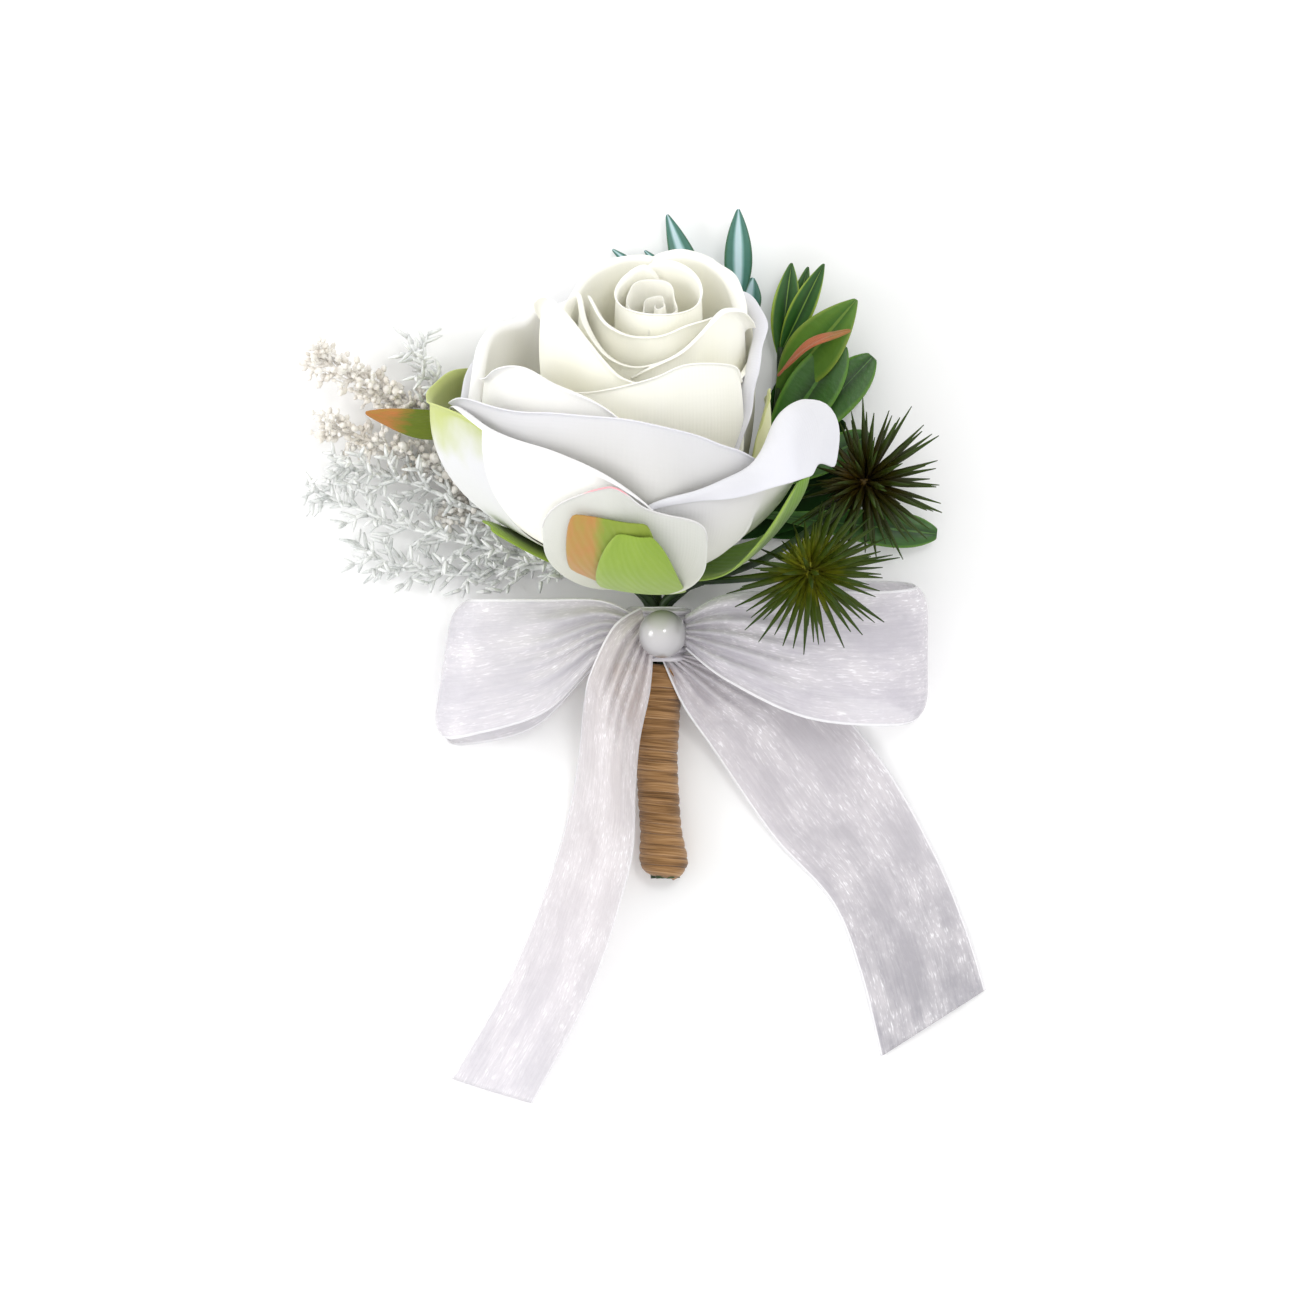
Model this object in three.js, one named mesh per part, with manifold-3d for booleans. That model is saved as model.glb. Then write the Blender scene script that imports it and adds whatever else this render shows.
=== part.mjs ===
// A boutonniere lying on its back: a white fabric rose with its calyx, a printed rose leaf, a
// blue-green and a green leafy sprig, a pick with two needle rosettes, a silver and a cream spray,
// an organza bow with a pearl, and a stem handle wrapped in jute twine.
//
// Millimetres. +Z is up from the table, +Y runs from the handle to the flower, +X is to the right
// as one looks down on it. While it is being made, the origin is on the table under the pearl;
// the last lines move it to the middle of the footprint.

import * as THREE from 'three';
import { mergeVertices } from 'three/addons/utils/BufferGeometryUtils.js';
import Module from 'manifold-3d';

const wasm = await Module();
wasm.setup();

// ---------------------------------------------------------------- driving dimensions

const GAP = 0.35;                    // clearance between pieces that touch

const PETAL_THICKNESS = 0.7;
const LEAF_THICKNESS = 0.7;
const ROSE_TILT = 33;                // degrees that the rose's axis rises from the table
const ROSE_BASE = [-0.7, 10, 7.9];   // where the petals start, above the hip

const STEM_RADIUS = 0.7;
const STEM_PITCH = 1.75;             // centre to centre of neighbouring stems in the bundle
const BUNDLE_RADIUS = STEM_PITCH + STEM_RADIUS + GAP;   // inside radius of tape and twine
const HANDLE_END = -41.5;            // Y of the cut ends
const TWINE_TOP = -4.6;              // Y where the twine starts, just under the bow
const TWINE_PITCH = 1.8;
const TWINE_DEPTH = 0.3;             // how far each turn stands out
const TAPE_TOP = 4.4;

const RIBBON_THICKNESS = 0.6;
const KNOT_RADIUS = 5.2;
const KNOT_HALF_WIDTH = 3.6;
const PEARL_RADIUS = 4;

// ---------------------------------------------------------------- materials

function finish(color, roughness, metalness = 0) {
  return new THREE.MeshStandardMaterial({ color, roughness, metalness, side: THREE.DoubleSide });
}
const petalFabric = finish(0xf6f5ee, 0.85);
const calyxFabric = finish(0x93b04a, 0.6);
const printedLeaf = finish(0x7d8f3a, 0.6);
const greenPlastic = finish(0x3f7a2f, 0.45);
const blueGreenPlastic = finish(0x4f7f78, 0.45);
const needlePlastic = finish(0x3c5a1c, 0.5);
const frostedPlastic = finish(0xd3d8d6, 0.7);
const creamPlastic = finish(0xe0d8c6, 0.7);
const stemPlastic = finish(0x2c4a22, 0.6);
const floralTape = finish(0x1f3318, 0.8);
const juteTwine = finish(0xb98f5f, 0.95);
const organza = finish(0xe6e2ea, 0.4);
const pearlCoat = finish(0xf1efe9, 0.18);

// ---------------------------------------------------------------- small tools

const V = (p) => new THREE.Vector3(...p);
const spline = (points) => new THREE.CatmullRomCurve3(points.map(V), false, 'centripetal');
const profileLine = (points) => new THREE.SplineCurve(points.map(([r, h]) => new THREE.Vector2(r, h)));
const radians = THREE.MathUtils.degToRad;
const smooth = (t) => THREE.MathUtils.smoothstep(t, 0, 1);

// A closed three.js geometry as a solid that can be joined and cut.
function solid(geometry) {
  const plain = new THREE.BufferGeometry();
  plain.setAttribute('position', geometry.getAttribute('position'));
  plain.setIndex(geometry.index);
  const merged = mergeVertices(plain, 1e-4);
  return new wasm.Manifold(new wasm.Mesh({
    numProp: 3,
    vertProperties: new Float32Array(merged.attributes.position.array),
    triVerts: new Uint32Array(merged.index.array),
  }));
}

// Joins solids into one body. What doesn't touch the largest is a loose scrap and is dropped.
function fuse(solids) {
  const bodies = wasm.Manifold.union(solids).decompose();
  return bodies.reduce((largest, body) => (body.volume() > largest.volume() ? body : largest));
}

function named(name, body, material) {
  const { vertProperties, triVerts, numProp } = body.getMesh();
  if (numProp !== 3) throw new Error(name + ' carries more than positions');
  const geometry = new THREE.BufferGeometry();
  geometry.setAttribute('position', new THREE.BufferAttribute(new Float32Array(vertProperties), 3));
  geometry.setIndex(new THREE.BufferAttribute(new Uint32Array(triVerts), 1));
  geometry.computeVertexNormals();
  const mesh = new THREE.Mesh(geometry, material);
  mesh.name = name;
  return mesh;
}

// A closed thin blade. surface(u, v) is its middle layer, with u from -1 to 1 across and v from
// 0 to 1 along. Both faces are split along the same diagonals, so that they never cross.
function blade(surface, across, along, thickness) {
  const STEP = 1e-3;
  const rim = (value, low, high) => Math.min(high, Math.max(low, value));
  const positions = [];
  const columns = across + 1;
  const layer = columns * (along + 1);
  const backs = [];
  for (let j = 0; j <= along; j++) {
    for (let i = 0; i <= across; i++) {
      const u = -1 + (2 * i) / across;
      const v = j / along;
      const middle = surface(u, v);
      const du = surface(rim(u + STEP, -1, 1), v).sub(surface(rim(u - STEP, -1, 1), v));
      const dv = surface(u, rim(v + STEP, 0, 1)).sub(surface(u, rim(v - STEP, 0, 1)));
      const half = du.cross(dv).normalize().multiplyScalar(thickness / 2);
      positions.push(...middle.clone().add(half).toArray());
      backs.push(...middle.clone().sub(half).toArray());
    }
  }
  positions.push(...backs);
  const index = [];
  for (let j = 0; j < along; j++) {
    for (let i = 0; i < across; i++) {
      const a = j * columns + i;
      const [b, c, d] = [a + 1, a + columns + 1, a + columns];
      index.push(a, b, c, a, c, d);
      index.push(a + layer, c + layer, b + layer, a + layer, d + layer, c + layer);
    }
  }
  const edge = [];
  for (let i = 0; i < across; i++) edge.push(i);
  for (let j = 0; j < along; j++) edge.push(j * columns + across);
  for (let i = across; i > 0; i--) edge.push(along * columns + i);
  for (let j = along; j > 0; j--) edge.push(j * columns);
  edge.forEach((p, k) => {
    const q = edge[(k + 1) % edge.length];
    index.push(p + layer, q + layer, q, p + layer, q, p);
  });
  const geometry = new THREE.BufferGeometry();
  geometry.setAttribute('position', new THREE.BufferAttribute(new Float32Array(positions), 3));
  geometry.setIndex(index);
  return geometry;
}

// A round stem of one radius through the points, with the given number of rings to each stretch.
function rod(points, radius, sides = 5, each = 1) {
  const line = spline(points);
  const steps = each * (points.length - 1);
  const geometry = new THREE.CylinderGeometry(radius, radius, 1, sides, steps);
  const place = geometry.getAttribute('position');
  for (let k = 0; k < place.count; k++) {
    const t = Math.round((place.getY(k) + 0.5) * steps) / steps;
    const along = line.getTangent(t);
    const side = along.clone().cross(new THREE.Vector3(0, 0, 1)).normalize();
    const over = side.clone().cross(along);
    const at = line.getPoint(t);
    at.addScaledVector(side, place.getX(k)).addScaledVector(over, place.getZ(k));
    place.setXYZ(k, at.x, at.y, at.z);
  }
  return geometry;
}

// A straight needle or twig with three sides, tapering to a point.
function spike(from, to, rootRadius) {
  const along = to.clone().sub(from);
  const geometry = new THREE.ConeGeometry(rootRadius, along.length(), 3, 1);
  geometry.translate(0, along.length() / 2, 0);
  const turn = new THREE.Quaternion().setFromUnitVectors(new THREE.Vector3(0, 1, 0), along.normalize());
  return geometry.applyQuaternion(turn).translate(from.x, from.y, from.z);
}

// A leaf from base to tip. facing is the way its upper face looks; belly is where along it the
// leaf is widest; arch lifts its middle; fold raises its sides above the midrib.
function leaf({ base, tip, facing = [0, 0, 1], width, belly = 0.5, arch = 0, fold = 0, blunt = 0.12,
  across = 2, along = 5 }) {
  const [start, end] = [V(base), V(tip)];
  const length = start.distanceTo(end);
  const y = end.clone().sub(start).normalize();
  const x = y.clone().cross(V(facing)).normalize();
  const z = x.clone().cross(y);
  const lean = Math.log(0.5) / Math.log(belly);
  const surface = (u, v) => {
    const outline = Math.sin(Math.PI * Math.pow(0.04 + 0.92 * v, lean));
    const half = (width / 2) * Math.max(blunt, Math.pow(outline, 0.85));
    const lift = arch * Math.sin(Math.PI * v) + fold * half * Math.abs(u);
    const foot = start.clone().addScaledVector(y, v * length);
    return foot.addScaledVector(x, u * half).addScaledVector(z, lift);
  };
  return blade(surface, across, along, LEAF_THICKNESS);
}

// ---------------------------------------------------------------- the stem bundle

// The middle of the bundle at each Y: the handle's gentle S, rising from the table to the neck.
const bundleLine = new THREE.CatmullRomCurve3([
  [0.8, HANDLE_END, 3.75], [0.3, -36, 3.8], [-0.5, -26, 4.1], [-0.9, -16, 4.9],
  [-1, -8, 5.7], [-0.6, 0, 6.4], [-0.4, TAPE_TOP + 1.6, 6.9],
].map(V));
function bundleAt(y) {
  let [low, high] = [0, 1];
  for (let k = 0; k < 30; k++) {
    const middle = (low + high) / 2;
    if (bundleLine.getPoint(middle).y < y) low = middle;
    else high = middle;
  }
  return bundleLine.getPoint(low);
}

// Seven stems: the rose's in the middle and six round it, each at its own degrees.
const PLACE = {
  pick: 60, greenSprig: 0, topSprig: -60, creamSpray: -120, roseLeaf: 180, silverSpray: 120,
};
function stem(place, beyond, radius = STEM_RADIUS) {
  const angle = radians(PLACE[place] ?? 0);
  const out = place in PLACE ? STEM_PITCH : 0;
  const held = [HANDLE_END, -33, -24, -15, -7, -1, 2, TAPE_TOP + 0.6].map((y) => {
    const at = bundleAt(y);
    return [at.x + out * Math.cos(angle), y, at.z + out * Math.sin(angle)];
  });
  return solid(rod([...held, ...beyond], radius));
}

// A sleeve round the bundle between two heights, turned on a lathe and bent along the bundle.
function sleeve(outline, sides) {
  const profile = outline.map(([radius, y]) => new THREE.Vector2(radius, y));
  profile.push(profile[0].clone());
  const geometry = new THREE.LatheGeometry(profile, sides);
  const place = geometry.getAttribute('position');
  for (let k = 0; k < place.count; k++) {
    const at = bundleAt(place.getY(k));
    place.setXYZ(k, place.getX(k) + at.x, place.getY(k), Math.max(0, place.getZ(k) + at.z));
  }
  return solid(geometry);
}

// Outside radius of the twine: wide under the bow, slim below, a little fuller near the end.
function twineRadius(y) {
  const flare = 1.5 * smooth((y - TWINE_TOP + 20) / 20);
  const bulge = 0.25 * Math.exp(-(((y + 37) / 3) ** 2));
  const rounding = 0.9 * smooth((HANDLE_END + 3 - y) / 3);
  return 3.55 + flare + bulge - rounding;
}
function juteWrap() {
  const bottom = HANDLE_END + 0.9;
  const turns = Math.round((TWINE_TOP - bottom) / TWINE_PITCH);
  const pitch = (TWINE_TOP - bottom) / turns;
  const outline = [];
  for (let k = 0; k < turns; k++) {
    const y = bottom + k * pitch;
    outline.push([twineRadius(y) - TWINE_DEPTH, y]);
    outline.push([twineRadius(y + pitch / 2), y + pitch / 2]);
  }
  outline.push([twineRadius(TWINE_TOP) - TWINE_DEPTH, TWINE_TOP]);
  outline.push([BUNDLE_RADIUS, TWINE_TOP]);
  const INNER_STEPS = 6;
  for (let k = 1; k < INNER_STEPS; k++) {
    outline.push([BUNDLE_RADIUS, TWINE_TOP + ((bottom - TWINE_TOP) * k) / INNER_STEPS]);
  }
  outline.push([BUNDLE_RADIUS, bottom]);
  return sleeve(outline, 10);
}
const TAPE_RADIUS = KNOT_RADIUS - 1 - GAP;
function tapeNeck() {
  const bottom = TWINE_TOP + GAP;
  const top = TAPE_TOP - 0.1;
  return sleeve([
    [TAPE_RADIUS - 0.3, bottom], [TAPE_RADIUS, bottom + 1], [TAPE_RADIUS, 0],
    [TAPE_RADIUS, KNOT_HALF_WIDTH], [TAPE_RADIUS - 0.5, top - 0.5], [TAPE_RADIUS - 0.9, top],
    [BUNDLE_RADIUS, top], [BUNDLE_RADIUS, 0], [BUNDLE_RADIUS, bottom],
  ], 12);
}

// ---------------------------------------------------------------- the rose

// Points of the rose are given round its own axis: degrees from the side that faces up and
// towards the handle (positive to the right), radius from the axis, and height above its base.
const roseFrame = new THREE.Matrix4().makeRotationX(radians(ROSE_TILT)).setPosition(...ROSE_BASE);
const toRose = roseFrame.clone().invert();
function aroundRose(degrees, radius, height) {
  const angle = radians(degrees);
  const local = new THREE.Vector3(radius * Math.sin(angle), height, radius * Math.cos(angle));
  return local.applyMatrix4(roseFrame);
}

// One petal. body is its profile from root to ridge as [radius, height] points; past the ridge the
// lip rolls outwards by curl degrees over lip mm. at and span are the middle and half-width in
// degrees, round takes its corners down, tilt moves its right side out and its left side in,
// lean raises its right side, point draws up the middle of the rim, flare opens its side edges.
function petalSurface({ at, span, body, lip = 2, curl = 60, round = 0.18, tilt = 1, lean = 0,
  point = 0, flare = 0.6, lipLean = 0 }) {
  const spine = profileLine(body);
  const RIDGE = 0.74;                  // share of the blade below the lip
  const ROOT = 0.45;                   // width of the root as a share of the full width
  return (u, v) => {
    const reach = 1 - round * Math.pow(Math.abs(u), 3) + point * Math.exp(-12 * u * u);
    const t = Math.min(1, v / RIDGE) * Math.min(1, reach);
    const end = spine.getPoint(t);
    const wide = ROOT + (1 - ROOT) * smooth(Math.min(1, 1.6 * t));
    let [radius, height] = [end.x, end.y];
    const over = Math.max(0, v - RIDGE) / (1 - RIDGE);
    if (over > 0) {
      const heading = spine.getTangent(Math.min(0.999, t));
      const start = Math.atan2(heading.y, heading.x);
      const full = radians(curl) * over;
      const long = lip * (1 + lipLean * u) * (1 - 0.45 * u * u);
      const STEPS = 6;
      for (let k = 0; k < STEPS; k++) {
        const angle = start - (full * (k + 0.5)) / STEPS;
        radius += (Math.cos(angle) * long * over) / STEPS;
        height += (Math.sin(angle) * long * over) / STEPS;
      }
    }
    const up = t * t;
    height += lean * u * up + Math.max(0, reach - 1) * 40 * up;
    radius += tilt * u * Math.min(1, 2 * t) + flare * Math.pow(Math.abs(u), 4) * up;
    const place = aroundRose(at + u * span * wide, radius, height);
    return place.setZ(Math.max(place.z, PETAL_THICKNESS / 2));
  };
}

// From the heart outwards. The first are wound round the core, the last seven are the wide ones.
const WIDE_PETALS = 7;
const PETALS = [
  { at: 215, span: 105, body: [[4.5, 30], [5.2, 42], [4.4, 49], [3.2, 54.5]],
    lip: 1, curl: 30, tilt: 1.1, flare: 0 },
  { at: 35, span: 105, body: [[6, 30], [6.8, 42], [6.4, 49], [5.4, 53.5]],
    lip: 1.2, curl: 40, flare: 0 },
  { at: 135, span: 72, body: [[6, 22], [8.8, 38], [9.2, 50], [8.8, 56.5]],
    lip: 1.6, curl: 60, tilt: 0.9 },
  { at: -10, span: 70, body: [[7, 20], [10, 34], [10, 43], [9.2, 49.5]],
    lip: 1.4, curl: 60, tilt: 0.8 },
  { at: -125, span: 66, body: [[6, 18], [11, 36], [12, 49], [11.4, 57]],
    lip: 2.2, curl: 85, tilt: 0.9 },
  { at: 108, span: 56, body: [[6, 16], [12, 34], [13.4, 47], [13, 55.5]],
    lip: 2.6, curl: 110, tilt: 0.9 },
  { at: -48, span: 62, body: [[6, 12], [15, 28], [17.4, 42], [16.2, 52]],
    lip: 1.8, curl: 50, tilt: 0.9 },
  { at: 62, span: 46, body: [[6, 12], [14, 28], [15.6, 42], [14.6, 52]],
    lip: 2.6, curl: 90, tilt: 0.9 },
  { at: 178, span: 60, body: [[6, 12], [14, 28], [16, 42], [15.6, 51]],
    lip: 2.4, curl: 90, tilt: 0.9 },
  { at: 4, span: 46, body: [[6, 9], [17, 22], [19.4, 38], [17.6, 51]],
    lip: 1.6, curl: 45, round: 0.1 },
  { at: 98, span: 46, body: [[6, 9], [15, 22], [17.4, 38], [17, 49.5]],
    lip: 3, curl: 110, round: 0.1 },
  { at: -48, span: 50, body: [[6, 7], [19, 18], [24, 33], [25, 45]],
    lip: 3, curl: 70, lean: 1.5 },
  { at: -122, span: 44, body: [[6, 7], [19, 18], [24.5, 32], [25, 41]],
    lip: 3.4, curl: 110 },
  { at: 182, span: 48, body: [[6, 7], [18, 18], [21, 32], [21.5, 42]],
    lip: 3.4, curl: 110, tilt: 2 },
  { at: -36, span: 57, body: [[4, 4.6], [17, 12], [26.5, 23], [29, 34], [29.5, 44]],
    lip: 7, curl: 105, round: 0.14, tilt: -2.5, lean: 2 },
  { at: 44, span: 44, body: [[4, 4.4], [16, 12], [24.5, 21], [28.5, 30], [29, 39]],
    lip: 8, curl: 105, tilt: -0.8, lean: 2, lipLean: 0.25 },
  { at: 112, span: 38, body: [[4, 4.4], [14, 11], [17.5, 18], [19, 26]],
    lip: 3, curl: 60 },
  { at: -86, span: 28, body: [[4, 4.2], [19, 9], [31, 18], [36, 27], [37, 34]],
    lip: 2.5, curl: 40, tilt: -1 },
  { at: 180, span: 44, body: [[4, 4.2], [15.5, 8.6], [20, 15.5], [24.5, 22.5], [26, 31], [26, 38]],
    lip: 3.5, curl: 100, tilt: 2 },
  { at: -132, span: 40, body: [[4, 4], [18, 9], [26, 20], [28.5, 31], [29.5, 38]],
    lip: 3.5, curl: 100, tilt: 1.4 },
  { at: -10, span: 27, body: [[4, 3.8], [12, 6.6], [20, 11], [29.8, 20.5], [32.6, 30], [33.5, 37]],
    lip: 1.2, curl: 30, round: 0.24, lean: -2.5, point: 0.03 },
];

function roseBloom() {
  const profile = [
    [0, 3.4], [4.5, 3.6], [6.5, 7], [8, 18], [7.4, 34], [5.4, 46], [2.6, 50.5], [0, 50],
  ];
  const core = new THREE.LatheGeometry(profile.map(([r, h]) => new THREE.Vector2(r, h)), 12);
  core.applyMatrix4(roseFrame);
  const petals = PETALS.map((petal, k) => {
    const wide = k >= PETALS.length - WIDE_PETALS;
    return solid(blade(petalSurface(petal), wide ? 6 : 4, wide ? 7 : 6, PETAL_THICKNESS));
  });
  return fuse([solid(core), ...petals]);
}

// The calyx: a small hip with five sepals lying along the outer petals, the two behind cut short.
const FRONT_LINE = [[3.2, 1], [12.6, 4.6], [21.6, 9.4], [31.8, 19], [35.2, 29], [36, 37]];
const LEFT_LINE = [[3.2, 1], [12, 3.8], [20.6, 7.4], [32.4, 16.2]];
const SIDE_LINE = [[3.2, 1], [10, 3.5], [18.5, 9], [26.5, 18.5], [30, 28]];
const SEPALS = [
  { at: -12, span: 13, line: FRONT_LINE, length: 0.93 },
  { at: 60, span: 9, line: SIDE_LINE, length: 0.9 },
  { at: 132, span: 12, line: SIDE_LINE, length: 0.36 },
  { at: 204, span: 12, line: SIDE_LINE, length: 0.33 },
  { at: -72, span: 10, line: LEFT_LINE, length: 0.74 },
];
function sepalSurface({ at, span, line, length }) {
  const spine = profileLine(line);
  return (u, v) => {
    const end = spine.getPoint(v * length);
    const outline = Math.sin(Math.PI * Math.pow(0.12 + 0.84 * v, 1.3));
    const half = span * Math.max(0.1, Math.pow(outline, 0.6)) * Math.min(4, 34 / end.x);
    const place = aroundRose(at + u * Math.min(half, 40), end.x, end.y);
    return place.setZ(Math.max(place.z, LEAF_THICKNESS / 2 + 0.1));
  };
}
function calyx(roseStem) {
  const profile = [[0, -2.8], [1.3, -2.6], [2.6, -1.3], [4.1, 0.8], [4.1, 2.1], [0, 2.4]];
  const hip = new THREE.LatheGeometry(profile.map(([r, h]) => new THREE.Vector2(r, h)), 10);
  hip.applyMatrix4(roseFrame);
  const sepals = SEPALS.map((sepal) => solid(blade(sepalSurface(sepal), 3, 5, LEAF_THICKNESS)));
  return fuse([solid(hip), ...sepals]).subtract(roseStem);
}

// ---------------------------------------------------------------- what foliage keeps clear of

// The room that the rose takes, as [height, radius] points along its axis.
const ROSE_REACH = [
  [-4, 5], [1, 6], [3.4, 13.5], [7.2, 23.5], [18, 34], [30, 40], [40, 40], [46, 34], [60, 16], [62, 0],
];
function nearRose(point, margin) {
  const local = point.clone().applyMatrix4(toRose);
  const radius = Math.hypot(local.x, local.z);
  if (local.y < ROSE_REACH[0][0] - margin) return false;
  const above = ROSE_REACH.findIndex(([height]) => height >= local.y);
  if (above < 1) return above === 0 && radius < ROSE_REACH[0][1] + margin;
  const [[h0, r0], [h1, r1]] = [ROSE_REACH[above - 1], ROSE_REACH[above]];
  return radius < r0 + ((r1 - r0) * (local.y - h0)) / (h1 - h0) + margin;
}
function nearBow({ x, y, z }, margin) {
  const top = x < 0 ? 6.2 : 9.4;
  return Math.abs(x) < 47 && y < top + margin && z > 2.5 - margin && z < 17 + margin;
}
// True if a straight twig stays clear, and above the floor, along its outer part.
function clearTwig(from, to, margin, floor) {
  return [0.4, 0.7, 1].every((t) => {
    const point = from.clone().lerp(to, t);
    return point.z > floor && !nearRose(point, margin) && !nearBow(point, margin);
  });
}

// ---------------------------------------------------------------- leaves and sprigs

const ROSE_LEAF = {
  route: [[-4.8, 8, 6.2], [-10, 12.5, 5.2], [-20, 22, 4.2], [-31, 33, 4.8]],
  leaves: [
    { base: [-30.4, 32.4, 4.6], tip: [-49.3, 36.9, 12], facing: [-0.2, -0.5, 1], width: 7,
      belly: 0.45, arch: 1 },
  ],
};
const TOP_SPRIG = {
  route: [[2.6, 8, 3.2], [6, 14, 1.9], [11.5, 24, 1.5], [13.5, 36, 2], [14, 48, 3], [12.8, 57, 4.2]],
  leaves: [
    { base: [12.9, 55, 3.9], tip: [12.9, 71, 8], width: 5.4, arch: 0.8, fold: 0.25 },
    { base: [13.6, 51.5, 3.2], tip: [15.4, 59.6, 3], width: 4.6, fold: 0.2 },
    { base: [13.8, 49, 3], tip: [2, 70, 3], width: 6, belly: 0.7, arch: 0.3, fold: 0.2 },
    { base: [13.9, 47, 2.8], tip: [-8.4, 64.4, 1.6], width: 3.4, belly: 0.6 },
    { base: [13.9, 48, 2.9], tip: [-2.8, 64, 1.8], width: 3.2, belly: 0.6 },
  ],
};
const GREEN_SPRIG = {
  route: [[4.6, 8, 6.4], [9.4, 13, 4.4], [16, 25, 2.4], [19.4, 38, 2.4], [20, 48, 4.6]],
  leaves: [
    { base: [17.6, 30, 2], tip: [27, 47, 1.2], width: 9, belly: 0.55 },
    { base: [17.4, 29.6, 2.4], tip: [30.4, 48.4, 8], width: 8.8, belly: 0.62, arch: 1.2,
      fold: 0.12, blunt: 0.3 },
    { base: [16, 25.6, 2.4], tip: [35.4, 46.4, 6.5], width: 7.4, belly: 0.72, arch: 1,
      fold: 0.12, blunt: 0.3 },
    { base: [15, 23, 2.6], tip: [35, 33.4, 4], width: 5.6, belly: 0.72, arch: 0.8, blunt: 0.3 },
    { base: [13.4, 20.4, 2.9], tip: [46.2, 16.7, 5], width: 6.4, belly: 0.76, arch: 1.2,
      blunt: 0.3 },
    { base: [19.6, 40, 2.7], tip: [32.4, 55.6, 14], facing: [-0.2, -0.1, 1], width: 9,
      belly: 0.55, arch: 1, fold: 0.2 },
    { base: [19.8, 46.4, 4], tip: [21.8, 62, 7], width: 4.8, arch: 0.6, fold: 0.3 },
    { base: [20, 47, 4.4], tip: [27.2, 61.8, 10], width: 4.2, arch: 0.5, fold: 0.3 },
    { base: [19.8, 44, 3.4], tip: [24.6, 61.4, 5.4], width: 4, arch: 0.5, fold: 0.3 },
  ],
};
function sprig(place, { route, leaves }) {
  return fuse([stem(place, route), ...leaves.map((shape) => solid(leaf(shape)))]);
}

// ---------------------------------------------------------------- the needle pick

// Directions spread evenly over a ball, by the golden angle.
function evenly(count) {
  const GOLDEN = Math.PI * (3 - Math.sqrt(5));
  return Array.from({ length: count }, (_, k) => {
    const z = 1 - (2 * k + 1) / count;
    const ring = Math.sqrt(1 - z * z);
    return new THREE.Vector3(ring * Math.cos(k * GOLDEN), ring * Math.sin(k * GOLDEN), z);
  });
}
const PICK_FORK = [7, 8.8, 10.4];
const PICK_STEM = [[3.4, 7.4, 9.2], PICK_FORK];
const ROSETTES = [
  { centre: [24.7, 10.4, 23], route: [PICK_FORK, [14, 9.2, 15]], needles: 84, reach: 13.5 },
  { centre: [34, 25.4, 13], route: [PICK_FORK, [17, 12.4, 9.6], [27, 19, 10.6]], needles: 92,
    reach: 12.5 },
];
const LEAF_LAYER = 7.4;              // the leaves on the right lie under this height
function needlePick() {
  const parts = [stem('pick', PICK_STEM)];
  for (const { centre, route, needles, reach } of ROSETTES) {
    const middle = V(centre);
    parts.push(solid(rod([...route, centre], 0.6)));
    parts.push(solid(new THREE.IcosahedronGeometry(2.8, 0).translate(...centre)));
    evenly(needles).forEach((way, k) => {
      const long = reach * (0.88 + 0.12 * Math.cos(2.4 * k));
      const root = middle.clone().addScaledVector(way, 1.2);
      const tip = middle.clone().addScaledVector(way, long);
      const ends = [1, 0.8, 0.62].map((share) => root.clone().lerp(tip, share));
      const end = ends.find((point) => clearTwig(root, point, 0.9, LEAF_LAYER));
      if (end) parts.push(solid(spike(root, end, 0.55)));
    });
  }
  return fuse(parts);
}

// ---------------------------------------------------------------- the frosted sprays

// A spray: a bent stem with side branches, each branch set all round with small forked twigs.
const BRANCH_RADIUS = 0.5;
const TWIG_RADIUS = 0.45;
const FORK = 5;                        // length of a twig
const FORK_EVERY = 4.8;
function spray(place, { route, branches, bud = 0 }) {
  const parts = [stem(place, route)];
  const grow = (from, to) => {
    const free = clearTwig(from, to, 0.7, 0.6 + bud);
    if (free) parts.push(solid(spike(from, to, TWIG_RADIUS)));
    return free;
  };
  let turn = 0;
  for (const { line, from = 0.2, ends = 1 } of branches) {
    const curve = spline(line);
    parts.push(solid(rod(line, BRANCH_RADIUS, 4, 2)));
    const count = Math.round((curve.getLength() * (1 - from)) / FORK_EVERY);
    for (let k = 0; k <= count; k++) {
      const at = curve.getPoint(from + ((1 - from) * k) / count);
      const along = curve.getTangent(from + ((1 - from) * k) / count);
      const side = along.clone().cross(new THREE.Vector3(0, 0, 1)).normalize();
      const over = side.clone().cross(along);
      turn += 2.4;
      const out = side.multiplyScalar(Math.cos(turn)).addScaledVector(over, Math.sin(turn));
      const long = FORK * (0.8 + 0.2 * Math.sin(1.7 * turn)) * ends;
      const way = along.clone().multiplyScalar(0.75).add(out).normalize();
      const tip = at.clone().addScaledVector(way, long);
      if (!grow(at, tip)) continue;
      if (bud) {
        parts.push(solid(new THREE.OctahedronGeometry(bud, 0).translate(...tip.toArray())));
        continue;
      }
      const elbow = at.clone().addScaledVector(way, long * 0.4);
      for (const swing of [-1, 1]) {
        const split = along.clone().multiplyScalar(0.9).addScaledVector(out, 0.5);
        split.addScaledVector(along.clone().cross(out), 0.9 * swing).normalize();
        grow(elbow, elbow.clone().addScaledVector(split, long * 0.6));
      }
    }
  }
  return fuse(parts);
}
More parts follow.
